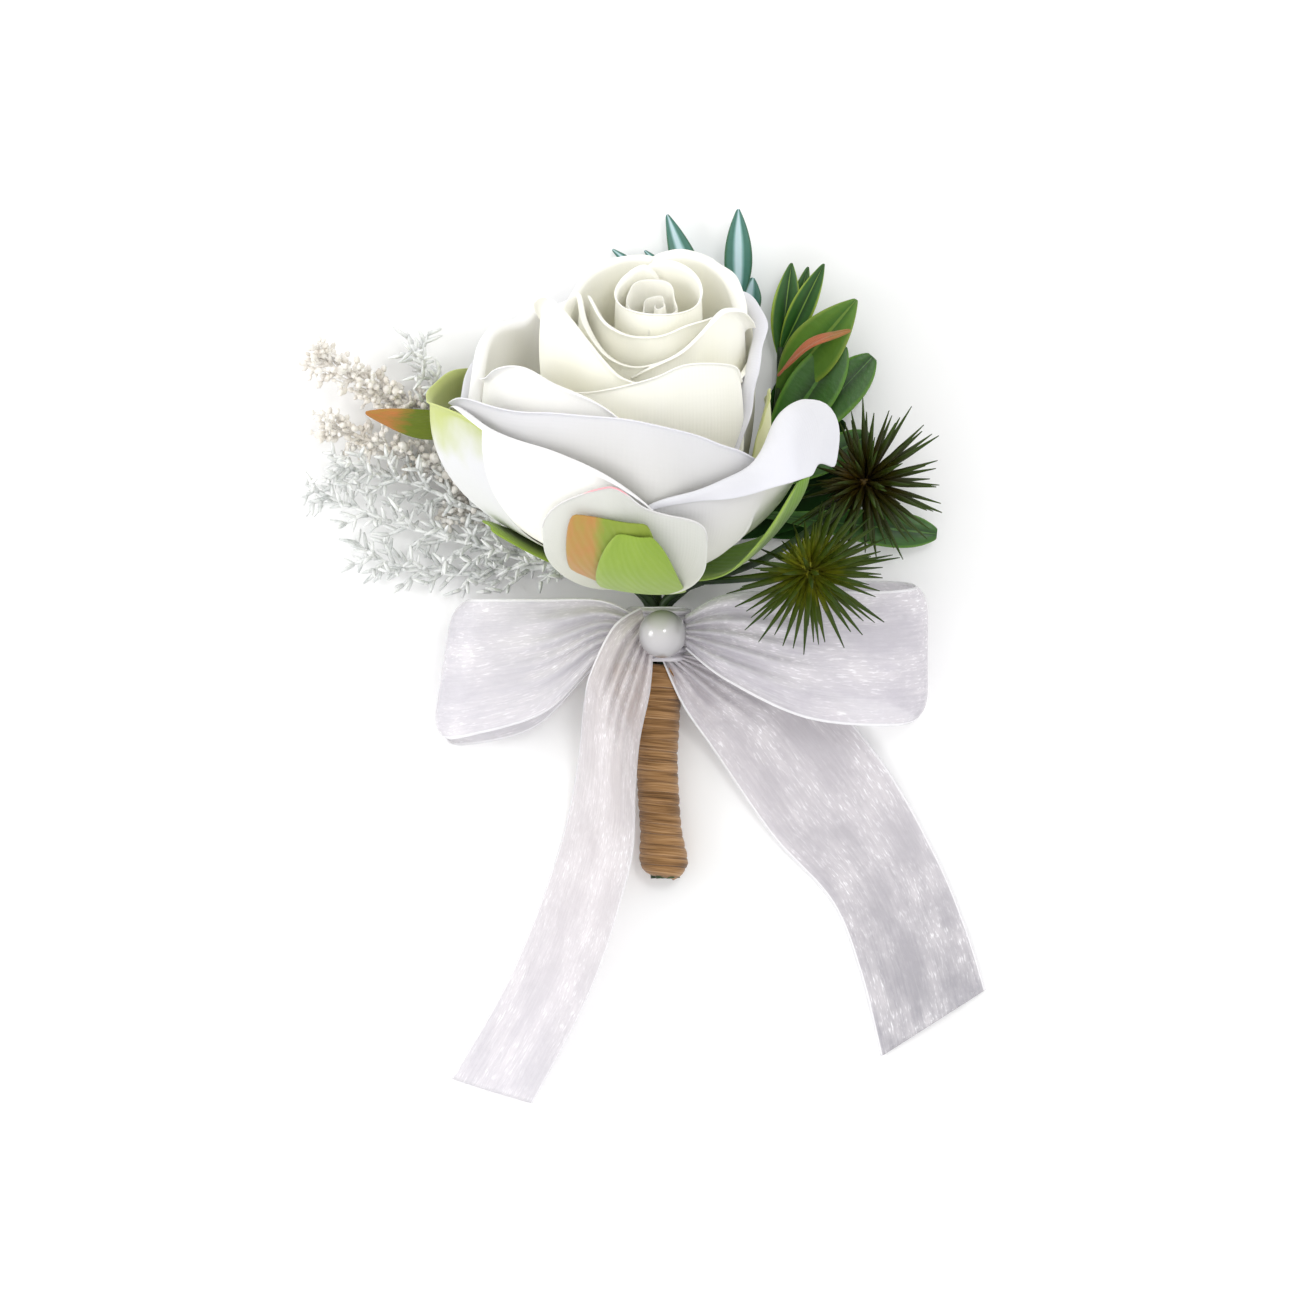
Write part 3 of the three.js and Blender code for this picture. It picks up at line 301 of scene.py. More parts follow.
PETALS = [
    # the cup round the heart, and the wraps that close about it
    dict(rim=[(-184, 6.3, 53), (-168, 6.4, 55.4), (-155, 6.6, 55.6), (-122, 6.6, 54.6),
              (-90, 6.8, 54.2), (-60, 6.8, 54.2), (-30, 6.8, 54.6), (0, 6.8, 54.6), (30, 7, 54.4),
              (61, 7.3, 54.2), (90, 7.3, 54.8), (115, 7.4, 55.4), (140, 7.4, 55.9),
              (165, 7.3, 56.1), (184, 7.4, 55.4), (202, 7.4, 53)],
         foot=(5, 36), lip=(1, 1, 0.8, 1, 1.2), curl=60, ruffle=0.15),
    dict(rim=[(-132, 10, 43), (-114, 10.6, 49), (-97, 11, 53), (-80, 11, 54.6), (-60, 10.4, 52.8),
              (-48, 9.8, 52.2), (-32, 8.9, 51.4), (-14, 8.7, 51.6), (8, 8.7, 52), (30, 8.9, 53.2),
              (50, 9.2, 53), (70, 9.4, 52)],
         foot=(5, 30), lip=(0.8, 1.4, 1.2), curl=100, ruffle=0.15),
    dict(rim=[(-118, 12, 43), (-105, 12.4, 49.6), (-93, 12.6, 54), (-77, 12.8, 55.8),
              (-68, 12.6, 53), (-57, 12, 50.2), (-40, 11.6, 47.9), (-19, 11.4, 47.1),
              (-1, 11.4, 48.2), (16, 11.6, 49.6), (30, 11.8, 50)],
         foot=(6, 26), lip=(1.2, 1.8, 1), curl=100, ruffle=0.2),
    dict(rim=[(-200, 10.4, 51), (-183, 10.6, 53.2), (-167, 11, 54.4), (-145, 11.6, 54.9),
              (-129, 12.6, 53.9), (-120, 13.2, 52.9), (-107, 13.8, 51.6), (-96, 14.2, 49)],
         foot=(6, 22), lip=(1.5, 2, 1.6), curl=100, ruffle=0.25),
    dict(rim=[(-20, 11.6, 45.6), (-6, 11.8, 47.8), (18, 12, 50.4), (33, 12.8, 53.4),
              (43, 13.4, 55.6), (52, 13.8, 56.4), (64, 14, 54.8), (74, 14.2, 51.6),
              (84, 14.4, 48)],
         foot=(6, 24), lip=(1, 1.4, 2.2, 3, 3), curl=120, ruffle=0.2),
    dict(rim=[(86, 12.2, 47.5), (98, 12.5, 51), (114, 12.3, 54.2), (131, 11.9, 55),
              (147, 11.3, 55.5), (164, 10.9, 55.2), (177, 10.6, 54.6), (192, 10.4, 53)],
         foot=(6, 20), lip=(3, 2.8, 2.2, 1.6), curl=120, ruffle=0.25),
    dict(rim=[(-112, 19.2, 43.4), (-98, 19.3, 49), (-84, 19, 53.6), (-72, 18.6, 56.6),
              (-61, 18.1, 57.3), (-50, 17.4, 55.8), (-40, 17, 53.5), (-30, 16.7, 50.5),
              (-20, 16.4, 48.1), (-5, 16.1, 47.1), (8, 16, 47)],
         foot=(6, 14), low=0.28, lip=(2, 2.2, 1.6, 1, 1), curl=90, ruffle=0.2),
    # the tall petals round them
    dict(rim=[(20, 16, 40), (44, 16, 42), (70, 15.8, 44), (95, 15.6, 46), (118, 15.4, 46)],
         foot=(6, 12), lip=(2, 2.4, 2.4), curl=90),
    dict(rim=[(128, 15, 47), (152, 15.4, 48), (178, 15.4, 48.4), (205, 15.4, 48), (236, 15.6, 46)],
         foot=(6, 12), lip=(2, 2.4, 2), curl=90),
    dict(rim=[(-62, 21.4, 39.6), (-50, 21, 42.8), (-43, 20.6, 44.6), (-29, 20.4, 46.6),
              (-14, 20.2, 48.9), (1, 20, 50.6), (13, 19.6, 52.2), (29, 19.2, 51.2),
              (43, 18.8, 48.8), (48, 18.6, 45)],
         foot=(6, 9), fullness=1.2, low=0.26, lip=(1, 1.3, 1.3, 1), curl=70, ruffle=0.2),
    dict(rim=[(34, 17.6, 27), (43, 17.6, 32.4), (50, 17.4, 37.8), (57, 17, 42.4), (68, 16.6, 45.6),
              (84, 16.3, 46.8), (104, 15.9, 47.2), (123, 15.6, 48), (142, 15.4, 46.6)],
         foot=(6, 9), lip=(4.2, 4.6, 4.4, 3.4, 2.6, 2.4), curl=110, ruffle=0.4, cloth=SHADED_COOL_WHITE),
    dict(rim=[(-92, 28.6, 37), (-81, 28.2, 40.2), (-74, 27.6, 43.4), (-64, 27, 47.2),
              (-56, 26.6, 49.2), (-50, 26.2, 49.6), (-42, 25.8, 49.2), (-30, 25.3, 48.8),
              (-20, 25, 47.2), (-12, 24.8, 44.4), (-6, 24.8, 41)],
         foot=(6, 7), low=0.2, lip=(1.6, 2, 1.4), curl=90, ruffle=0.2),
    dict(rim=[(-152, 23, 37), (-139, 24.4, 40.2), (-130, 25.2, 41.2), (-124, 26.2, 39.4),
              (-117, 27.2, 40), (-109, 28, 41.4), (-102, 28.8, 40.2), (-95, 29, 36),
              (-88, 29, 30)],
         foot=(6, 7), low=0.2, lip=(2, 2.6, 3), curl=110, ruffle=0.3),
    dict(rim=[(134, 20, 41), (160, 21.5, 42), (182, 21.5, 42.4), (205, 21.5, 42), (230, 22, 40)],
         foot=(6, 7), low=0.2, lip=(3, 3.4, 3), curl=120),
    # the wide outer petals; the last one is the lowest in front, with the pink spot on its rim
    dict(rim=[(-77, 34, 37), (-72, 33.4, 40), (-64, 31.8, 41.6), (-48, 30.4, 44),
              (-34, 29.8, 46.6), (-21, 29.4, 47.6), (-9, 29, 47.6), (3, 28.6, 46.2),
              (14, 28, 43.8), (22, 27.6, 41.2), (30, 27.2, 38.6), (38, 26.8, 35)],
         foot=(4, 5.4), fullness=1.09, low=0.3, lip=(2, 1.6, 1.4, 1.4, 1.2, 1), curl=70,
         ruffle=0.2, fold=(-1, 2.2), cloth=SHADED_COOL_WHITE),
    dict(rim=[(-80, 34.6, 34.6), (-74, 34.6, 38.2), (-67, 34, 39.2), (-57, 33.4, 39.6),
              (-46, 32.8, 40.6), (-34, 32.4, 41.4), (-25, 32.2, 40.8), (-17, 32, 39.2),
              (-10, 31.8, 37), (-4, 31.6, 34), (2, 31.4, 30)],
         foot=(4, 4.8), fullness=1.04, low=0.27, lip=(1.4, 2.6, 3, 2.4, 2, 1.4), curl=120,
         waist=0.9, ruffle=0.3),
    dict(rim=[(-12, 30.6, 29), (-5, 30.4, 32.2), (2, 30.4, 34.2), (13, 30, 35), (22, 29.6, 36),
              (32, 29, 36.8), (38, 28.6, 39.4), (43, 28, 42.4), (49, 27.6, 43.8), (56, 27.8, 43.6),
              (62, 28.2, 41.6)],
         foot=(4, 4.6), fullness=1.02, low=0.33,
         lip=(1, 1.2, 1.6, 2.6, 5, 7, 10, 13, 16, 18, 19.5), curl=174, tight=3.4, ruffle=0.25,
         cloth=SHADED_COOL_WHITE),
    dict(rim=[(52, 19.6, 29), (58, 19.6, 34), (65, 19.4, 38), (74, 19.2, 39), (86, 18.8, 36),
              (100, 18.4, 32)],
         foot=(4, 5), low=0.3, lip=(1, 1, 1), curl=60, cloth=BEIGE),
    dict(rim=[(-120, 31.5, 29), (-109, 35.2, 31.2), (-98, 37, 31.8), (-86, 37.5, 34.6),
              (-76, 37.2, 38), (-66, 35, 39.6), (-57, 32.6, 38)],
         foot=(4, 4.2), fullness=1.03, low=0.25, waist=1.0, lip=(2, 2, 1), curl=50, cloth=LIME),
    dict(rim=[(136, 24, 35), (158, 25.6, 37.6), (180, 26, 38), (202, 26.6, 37.6), (224, 27, 35)],
         foot=(4, 4.2), fullness=1.05, low=0.12, lip=(3, 3.5, 3), curl=110, cloth=SHADED_COOL_WHITE),
    dict(rim=[(-172, 28, 32), (-152, 29, 33.6), (-132, 29.5, 33.6), (-112, 30, 33.4),
              (-94, 30.6, 31)],
         foot=(4, 4), fullness=1.08, low=0.12, lip=(3, 3.5, 3), curl=110, cloth=SHADED_COOL_WHITE),
    dict(rim=[(-35, 33, 26), (-33, 33, 29), (-28, 33.2, 32.4), (-22, 33.4, 35), (-16, 33.6, 37),
              (-12, 33.8, 37.8), (-8, 33.4, 36), (-4, 33.2, 33.6), (3, 33, 31.8), (10, 32.7, 30.6),
              (14, 32.4, 28.6), (15, 32, 25.6)],
         foot=(4, 4.2), fullness=1.02, low=0.26, waist=0.2, spread=1.15, lip=(0.6, 1, 0.8),
         curl=40, ruffle=0.2, cloth=PINK),
]
IVORY_ROWS = 10
for row, petal in enumerate(PETALS):
    cloth = petal.pop("cloth", IVORY if row < IVORY_ROWS else WHITE)
    piece = cloth_piece(f"rose_petal_{row + 1:02d}", 28, 26, petal_surface(row, **petal), PETAL_CLOTH)
    hand_over(piece, cloth, "rose_bloom")

HEART_FOOT = 36


def heart_surface(u, v):
    """The coiled middle petal: two and a half turns, loose at the top and higher at the back."""
    turn = (u + 1) / 2
    degrees = -150 + 860 * turn
    closing = 1.1 * v * v * (1 - 0.8 * turn)
    round_turn = math.radians(degrees)
    squeezed = 1 + 0.11 * math.sin(2 * round_turn + 0.9) + 0.05 * math.sin(5 * round_turn + 2 * turn)
    radius = (0.7 + 5.2 * turn + 0.5 * math.sin(7.5 * turn) * turn) * squeezed - closing
    top = 16.4 + 1.6 * turn - (0.4 + 0.7 * turn) * math.cos(round_turn) + 0.7 * math.sin(9 * turn)
    top += 0.35 * math.sin(3 * round_turn) * turn
    return round_rose(degrees, max(0.35, radius), HEART_FOOT + top * v)


heart = cloth_piece("rose_heart", 90, 8, heart_surface, PETAL_CLOTH)
hand_over(heart, IVORY, "rose_bloom")

# ---------------------------------------------------------------- the calyx
# Sepals die-cut from green cloth that is printed orange-brown at the side, glued on a moulded
# hip under the rose. They lie along the outer petals, and the front one has a second, lime lobe.

CALYX_CLOTH = 0.45
FRONT_LINE = [(3.2, 1), (12.6, 6.1), (21.6, 10.9), (31, 19.8), (34.2, 29), (35, 37)]
LEFT_LINE = [(3.2, 1), (12, 5.4), (20.6, 9.9), (32, 18.9)]
SIDE_LINE = [(3.2, 1), (10, 4.2), (18, 9), (24.2, 18.5), (27.6, 28)]


def leaf_cloth(name, main, side, edge, reach, axis="X"):
    """Printed cotton-like leaf cloth: matt, softly mottled, with the side tint on its low side in U,
    or, by the other axis, at its tip."""
    cloth = new_material(name)
    uv = add(cloth, "TexCoord", out="UV")
    reading = add(cloth, "SeparateXYZ", uv, out=axis)
    mottle = add(cloth, "TexNoise", uv, Scale=6, Detail=5, Roughness=0.6)
    if axis == "Y":
        reading = add(cloth, "Math", 1, reading, operation="SUBTRACT")
    across = add(cloth, "Math", mottle, 0.24, reading, operation="MULTIPLY_ADD")
    tint = add(
        cloth, "ValToRGB", across, stops=[(0, side), (reach, side), (reach + 0.14, main), (1, main)])
    light = add(cloth, "MapRange", mottle, 0.3, 0.7, 0, 0.45)
    tone = add(cloth, "Mix", light, tint, edge, data_type="RGBA")
    veins = add(
        cloth, "TexWave", uv, wave_type="BANDS", bands_direction="DIAGONAL", Scale=6, Distortion=3,
        Detail=2, out="Fac")
    bump = add(cloth, "Bump", Height=veins, Strength=0.25, Distance=0.0002)
    return finished(
        cloth, Base_Color=tone, Normal=bump, Roughness=0.6, Specular_IOR_Level=0.3, Sheen_Weight=0.15)


SEPAL_PRINT = leaf_cloth("sepal_cloth_orange_print", "#7E9230", "#B67E46", "#909E3C", 0.42)
SEPAL_LIME = leaf_cloth("sepal_cloth_lime", "#8BA63A", "#94AC46", "#7D9A30", 0.1)
SEPAL_GREEN = leaf_cloth("sepal_cloth_green", "#7FA63A", "#A8C65A", "#5F8A2C", 0.25)


def sepal_surface(at, span, line, length, lift=0.0, start=0.0, square=0.6):
    """A sepal along a line of (radius, height) at its degrees round the rose, and its span to each
    side there; a low square makes its outline blunter."""
    def surface(u, v):
        end = line_at(line, start + (length - start) * v)
        outline = math.sin(math.pi * (0.12 + 0.84 * v) ** 1.3)
        half = span * max(0.06, outline) ** square * min(4, 34 / end.x)
        radius = end.x + lift + 0.35 * math.sin(3 * u + at) * v
        place = round_rose(at + u * min(half, 40), radius, end.y)
        place.z = max(place.z, CALYX_CLOTH / 2 + 2 * TABLE_GAP)
        return place

    return surface


SEPALS = [
    ("sepal_front", (-13, 14, FRONT_LINE, 0.88, 0.3, 0.0, 0.14), SEPAL_PRINT),
    ("sepal_front_lobe", (-6, 12, FRONT_LINE, 0.83, 1.2, 0.04, 0.5), SEPAL_LIME),
    ("sepal_right", (62, 12, SIDE_LINE, 0.95), SEPAL_GREEN),
    ("sepal_right_back", (132, 12, SIDE_LINE, 0.36), SEPAL_GREEN),
    ("sepal_left_back", (204, 12, SIDE_LINE, 0.33), SEPAL_GREEN),
    ("sepal_left", (-65, 9, LEFT_LINE, 0.96), SEPAL_LIME),
]
for name, facts, cloth in SEPALS:
    hand_over(cloth_piece(name, 8, 14, sepal_surface(*facts), CALYX_CLOTH), cloth, "calyx")


def turned(name, profile, sides, bend):
    """A closed profile of (radius, height) turned round the Y axis; bend moves each point."""
    piece = started(name, bpy.ops.mesh.primitive_plane_add, size=1)
    piece.data.clear_geometry()
    edges = [(k, k + 1) for k in range(len(profile) - 1)]
    piece.data.from_pydata([(radius, height, 0) for radius, height in profile], edges, [])
    bpy.ops.object.mode_set(mode="EDIT")
    bpy.ops.mesh.select_all(action="SELECT")
    bpy.ops.mesh.spin(steps=sides, angle=2 * math.pi, center=(0, 0, 0), axis=(0, 1, 0))
    bpy.ops.mesh.select_all(action="SELECT")
    bpy.ops.mesh.remove_doubles(threshold=1e-4)
    bpy.ops.mesh.normals_make_consistent(inside=False)
    bpy.ops.object.mode_set(mode="OBJECT")
    for vertex in piece.data.vertices:
        vertex.co = placed(bend(vertex.co))
    bpy.ops.object.shade_smooth()
    return piece


hip = turned(
    "hip", [(0, -2.8), (1.3, -2.6), (2.6, -1.3), (3.6, 0.1), (4.1, 0.8), (4.1, 2.1), (0, 2.4)], 24,
    lambda co: Matrix.Rotation(ROSE_TILT, 3, "X") @ co + ROSE_BASE,
)
hand_over(hip, SEPAL_GREEN, "calyx")

# ---------------------------------------------------------------- the stems
# Seven wires, each in a moulded green plastic skin, lie side by side in the handle: the rose's in
# the middle and six round it. Each goes on to its own flower, leaf or spray.

STEM_RADIUS = 0.7
STEM_PITCH = 1.75
HANDLE_END = -41.5
TAPE_TOP = 4.4
BUNDLE_LINE = [
    (0.8, HANDLE_END, 3.75), (0.3, -36, 3.8), (-0.5, -26, 4.1), (-0.9, -16, 4.9), (-1, -8, 5.7),
    (-0.6, 0, 6.4), (-0.4, TAPE_TOP + 1.6, 6.9),
]
# Where the six stand round the rose's stem, in degrees.
PLACE = {
    "pick": 60, "green_sprig": 0, "top_sprig": -60, "cream_spray": -120, "rose_leaf": 180,
    "silver_spray": 120,
}


def bundle_at(y):
    """The middle of the bundle at a place along it, found by halving."""
    low, high = 0.0, 1.0
    for _ in range(30):
        middle = (low + high) / 2
        if line_at(BUNDLE_LINE, middle).y < y:
            low = middle
        else:
            high = middle
    return line_at(BUNDLE_LINE, low)


def tube_piece(name, points, radius_at, sides=8, steps=60):
    """A round tube along the points, closed at both ends; radius_at(share) is its radius."""
    piece = started(
        name, bpy.ops.mesh.primitive_cylinder_add, vertices=sides, radius=1, depth=1,
        end_fill_type="TRIFAN")
    bpy.ops.object.mode_set(mode="EDIT")
    for k in range(1, steps):
        bpy.ops.mesh.select_all(action="SELECT")
        bpy.ops.mesh.bisect(plane_co=(0, 0, k / steps - 0.5), plane_no=(0, 0, 1))
    bpy.ops.object.mode_set(mode="OBJECT")
    for vertex in piece.data.vertices:
        share = min(1.0, max(0.0, vertex.co.z + 0.5))
        way = line_way(points, share)
        side = way.cross(Vector((0, 0, 1))).normalized()
        over = side.cross(way)
        radius = radius_at(share)
        vertex.co = placed(line_at(points, share) + side * vertex.co.x * radius + over * vertex.co.y * radius)
    bpy.ops.object.mode_set(mode="EDIT")
    bpy.ops.mesh.select_all(action="SELECT")
    bpy.ops.mesh.normals_make_consistent(inside=False)
    bpy.ops.object.mode_set(mode="OBJECT")
    bpy.ops.object.shade_smooth()
    return piece


def stem_route(place, beyond):
    """A stem's way up the bundle at its own place in it, and then through the points beyond."""
    angle = math.radians(PLACE.get(place, 0))
    out = STEM_PITCH if place in PLACE else 0
    held = []
    for y in (HANDLE_END + 0.7, -33, -24, -15, -7, -1, 2, TAPE_TOP + 0.6):
        at = bundle_at(y)
        held.append((at.x + out * math.cos(angle), y, at.z + out * math.sin(angle)))
    return held + list(beyond)


def moulded_plastic(name, dark, main, pale, roughness=0.5):
    """Injection-moulded polyethylene: satin, slightly waxy, faintly mottled and grained."""
    plastic = new_material(name)
    at = add(plastic, "TexCoord", out="Object")
    mottle = add(plastic, "TexNoise", at, Scale=260, Detail=5, Roughness=0.6)
    colour = add(plastic, "ValToRGB", mottle, stops=[(0.3, dark), (0.5, main), (0.72, pale)])
    grain = add(plastic, "TexNoise", at, Scale=1500, Detail=2)
    bump = add(plastic, "Bump", Height=grain, Strength=0.3, Distance=0.0001)
    return finished(
        plastic, Base_Color=colour, Normal=bump, Roughness=roughness, Specular_IOR_Level=0.4,
        Coat_Weight=0.1, Coat_Roughness=0.4)


STEM_GREEN = moulded_plastic("stem_plastic_dark_green", "#16230F", "#24391A", "#3D5429")
rose_stem = tube_piece(
    "rose_stem_skin", stem_route("rose", [round_rose(0, 0, h) for h in (-3.4, -1, 0.6)]),
    lambda share: STEM_RADIUS)
hand_over(rose_stem, STEM_GREEN, "rose_stem")

# ---------------------------------------------------------------- leaves and leafy sprigs
# Soft plastic leaves on wired stems. The rose's own leaf is printed orange to olive, the sprig
# behind the rose is blue-green with a pale midrib, and the right one is green: narrow leaves with
# yellow-green margins above, broad oval ones below. Near-black leaves low under the right sprig
# fill its dark hollow: their colour is painted shade. The right sprig's big upper leaf is a lighter
# olive, partly its own yellower green and partly painted light.

LEAF_PLASTIC = 0.4


def leaf_surface(
    base, tip, width, facing=(0, 0, 1), belly=0.5, arch=0.0, fold=0.0, blunt=False,
):
    """A leaf from base to tip, widest at the share belly, arched along it and folded at its rib."""
    start = Vector(base)
    end = Vector(tip)
    length = (end - start).length
    y = (end - start).normalized()
    x = y.cross(Vector(facing)).normalized()
    z = x.cross(y)
    lean = math.log(0.5) / math.log(belly)
    power = 0.55 if blunt else 0.85

    def surface(u, v):
        outline = math.sin(math.pi * (0.03 + 0.955 * v) ** lean)
        half = width / 2 * max(0.04, outline) ** power
        wave = 0.25 * math.sin(9 * v + 3 * u) * abs(u)
        lift = arch * math.sin(math.pi * v) + fold * half * abs(u) + wave - 0.15 * math.exp(-40 * u * u)
        return start + y * v * length + x * u * half + z * lift

    return surface


def leaf_plastic(name, dark, main, margin, rib, rib_width=0.03, roughness=0.38, shine=0.45):
    """Pressed polyethylene leaf: waxy, darker by the midrib, with a pale rib and lighter margins."""
    leaf = new_material(name)
    uv = add(leaf, "TexCoord", out="UV")
    at = add(leaf, "TexCoord", out="Object")
    across = add(leaf, "SeparateXYZ", uv, out="X")
    off = add(leaf, "Math", across, 0.5, operation="SUBTRACT")
    away = add(leaf, "Math", off, operation="ABSOLUTE")
    mottle = add(leaf, "TexNoise", at, Scale=120, Detail=4)
    spread = add(leaf, "Math", mottle, 0.12, away, operation="MULTIPLY_ADD")
    colour = add(leaf, "ValToRGB", spread, stops=[
        (0.06 + rib_width / 2, rib), (0.06 + rib_width, dark), (0.3, main), (0.45, main), (0.53, margin)])
    veins_at = add(leaf, "Mapping", uv, Scale=(2.2, 9, 1))
    veins = add(leaf, "TexNoise", veins_at, Scale=2, Detail=3)
    bump = add(leaf, "Bump", Height=veins, Strength=0.3, Distance=0.0004)
    return finished(
        leaf, Base_Color=colour, Normal=bump, Roughness=roughness, Specular_IOR_Level=shine,
        Subsurface_Weight=0.08, Subsurface_Scale=0.001)


BLUE_LEAF = leaf_plastic(
    "leaf_plastic_blue_green", "#6E9C97", "#3F7264", "#2F5E3E", "#B9D3D8", rib_width=0.18)
GREEN_LEAF = leaf_plastic("leaf_plastic_green", "#1C3E0E", "#33601A", "#5C8A2E", "#47742A")
MARGIN_LEAF = leaf_plastic("leaf_plastic_yellow_margin", "#173D10", "#2C5C1E", "#93AE3C", "#6F9438")
# Painted shade: near-black, matt leaves that stand for the deep shade under the right sprig.
PAINTED_SHADE_LEAF = leaf_plastic(
    "leaf_plastic_painted_shade", "#0A1D05", "#12300A", "#1B4210", "#16360C", roughness=0.8, shine=0.12)
# A lighter, yellower copy of the green leaf for the big upper leaf: partly its own colour and partly painted
# light where it lies highest.
PAINTED_LIGHT_OLIVE_LEAF = leaf_plastic("leaf_plastic_olive_green_painted_light", "#3A641A", "#567F26", "#7A9433", "#6A8A34")
PRINTED_LEAF = leaf_cloth("leaf_cloth_olive_orange", "#6A7A1C", "#BF7440", "#7C8A2A", 0.36, axis="Y")
ORANGE_EDGE = leaf_cloth("leaf_cloth_orange_edge", "#B4633E", "#8F6A33", "#C67A52", 0.3, axis="Y")

LEAVES = [
    ("rose_leaf_blade", "rose_leaf", PRINTED_LEAF, "printed_leaf", [
        dict(base=(-30.4, 34.4, 4.6), tip=(-49.3, 36.9, 12), facing=(-0.2, -0.5, 1), width=6,
             belly=0.45, arch=1)]),
    ("blue_leaves", "top_sprig", BLUE_LEAF, "blue_green_leaf", [
        dict(base=(12.9, 55, 3.9), tip=(12.9, 71, 8), width=4.8, arch=0.8, fold=0.25),
        dict(base=(13.6, 51.5, 3.2), tip=(15.4, 59.6, 3), width=4.6, fold=0.2),
        dict(base=(8.6, 49.5, 3), tip=(1, 70.2, 3.4), width=5, belly=0.5, arch=0.3, fold=0.2),
        dict(base=(13.9, 47, 2.8), tip=(-8.2, 64.4, 1.8), width=3, belly=0.6),
        dict(base=(13.9, 48, 2.9), tip=(-2.8, 64.2, 2), width=2.8, belly=0.6),
        dict(base=(14, 45, 2.6), tip=(8.4, 50.2, 3.1), width=1.4)]),
    ("green_leaves", "green_sprig", GREEN_LEAF, "green_leaf", [
        dict(base=(17.4, 29.6, 2.4), tip=(30.4, 48.4, 8), width=8.8, belly=0.62, arch=1.2, fold=0.12,
             blunt=True),
        dict(base=(16, 25.6, 2.4), tip=(35.4, 46.4, 6.5), width=7.4, belly=0.72, arch=1, fold=0.12,
             blunt=True),
        dict(base=(15, 23, 2.6), tip=(35, 33.4, 4), width=5.6, belly=0.72, arch=0.8, blunt=True),
        dict(base=(13.4, 20.4, 2.9), tip=(46.2, 16.7, 5), width=6.4, belly=0.76, arch=1.2, blunt=True)]),
    # These near-black leaves are painted shade, laid low under the sprig.
    ("shaded_leaves", "green_sprig", PAINTED_SHADE_LEAF, "green_leaf", [
        dict(base=(17.6, 30, 2), tip=(27, 47, 1.2), width=9, belly=0.55),
        dict(base=(19, 33, 1.6), tip=(31, 35, 1.8), width=9, belly=0.5),
        dict(base=(12, 16, 3), tip=(31, 28, 1.2), width=9, belly=0.55),
        dict(base=(13, 18, 2), tip=(34, 22, 1.4), width=8, belly=0.5),
        dict(base=(14, 24, 1.6), tip=(29, 38, 0.9), width=9, belly=0.5)]),
    ("olive_leaf", "green_sprig", PAINTED_LIGHT_OLIVE_LEAF, "green_leaf", [
        dict(base=(19.6, 40, 2.7), tip=(32.6, 55.8, 12), facing=(-0.2, -0.1, 1), width=9, belly=0.5,
             arch=1, fold=0.2)]),
    ("narrow_leaves", "green_sprig", MARGIN_LEAF, "green_leaf", [
        dict(base=(19.8, 46.4, 4), tip=(21.8, 62, 7), width=4.8, arch=0.6, fold=0.3),
        dict(base=(20, 47, 4.4), tip=(27.2, 61.8, 10), width=4.2, arch=0.5, fold=0.3),
        dict(base=(19.8, 44, 3.4), tip=(24.6, 61.4, 5.4), width=4, arch=0.5, fold=0.3)]),
    ("orange_edge_leaf", "green_sprig", ORANGE_EDGE, "green_leaf", [
        dict(base=(19.4, 43, 9), tip=(31.6, 50.6, 14.4), facing=(-0.7, 0.9, 0.5), width=3.4, belly=0.6,
             arch=1.6, fold=0.1)]),
]


def joined(name, pieces):
    """Makes one named piece of several."""
    bpy.ops.object.select_all(action="DESELECT")
    for piece in pieces:
        piece.select_set(True)
    bpy.context.view_layer.objects.active = pieces[0]
    if len(pieces) > 1:
        bpy.ops.object.join()
    whole = bpy.context.view_layer.objects.active
    whole.name = name
    whole.data.name = name
    return whole


for name, node, plastic, slot, leaves in LEAVES:
    blades = [
        cloth_piece(f"{name}_{k}", 6, 14, leaf_surface(**shape), LEAF_PLASTIC)
        for k, shape in enumerate(leaves)
    ]
    hand_over(joined(name, blades), plastic, node)

SPRIG_STEMS = [
    ("rose_leaf_stem", "rose_leaf", "printed_leaf",
     [(-4.8, 8, 6.2), (-10, 12.5, 5.2), (-20, 22, 4.2), (-31, 33, 4.8)]),
    ("blue_leaf_stem", "top_sprig", "blue_green_leaf",
     [(2.6, 8, 3.2), (6, 14, 1.9), (11.5, 24, 1.5), (13.5, 36, 2), (14, 48, 3), (12.8, 57, 4.2)]),
    ("green_leaf_stem", "green_sprig", "green_leaf",
     [(4.6, 8, 6.4), (9.4, 13, 4.4), (16, 25, 2.4), (19.4, 38, 2.4), (20, 48, 4.6)]),
]
for name, node, slot, beyond in SPRIG_STEMS:
    stem = tube_piece(
        name, stem_route(node, beyond), lambda share: STEM_RADIUS - 0.25 * max(0, share - 0.6))
    hand_over(stem, STEM_GREEN, node)

# ---------------------------------------------------------------- the needle pick
# A moulded plastic pick whose stem forks to two spiky rosettes. Stiff needles stand out on every
# side of a small knob: yellow-green about the lower knob, brown about the upper one, green at the tip.

# How far the rose reaches from its axis, as (height, radius), and the box that the bow fills.
ROSE_REACH = [
    (-4, 5), (1, 6), (3.4, 13.5), (7.2, 23.5), (18, 34), (30, 40), (40, 40), (46, 34), (60, 16), (62, 0)]
BOW_HALF_WIDTH = 47
BOW_TOP_LEFT = 6.2
BOW_TOP_RIGHT = 9.4
BOW_BACK = 2.5
BOW_FRONT = 17


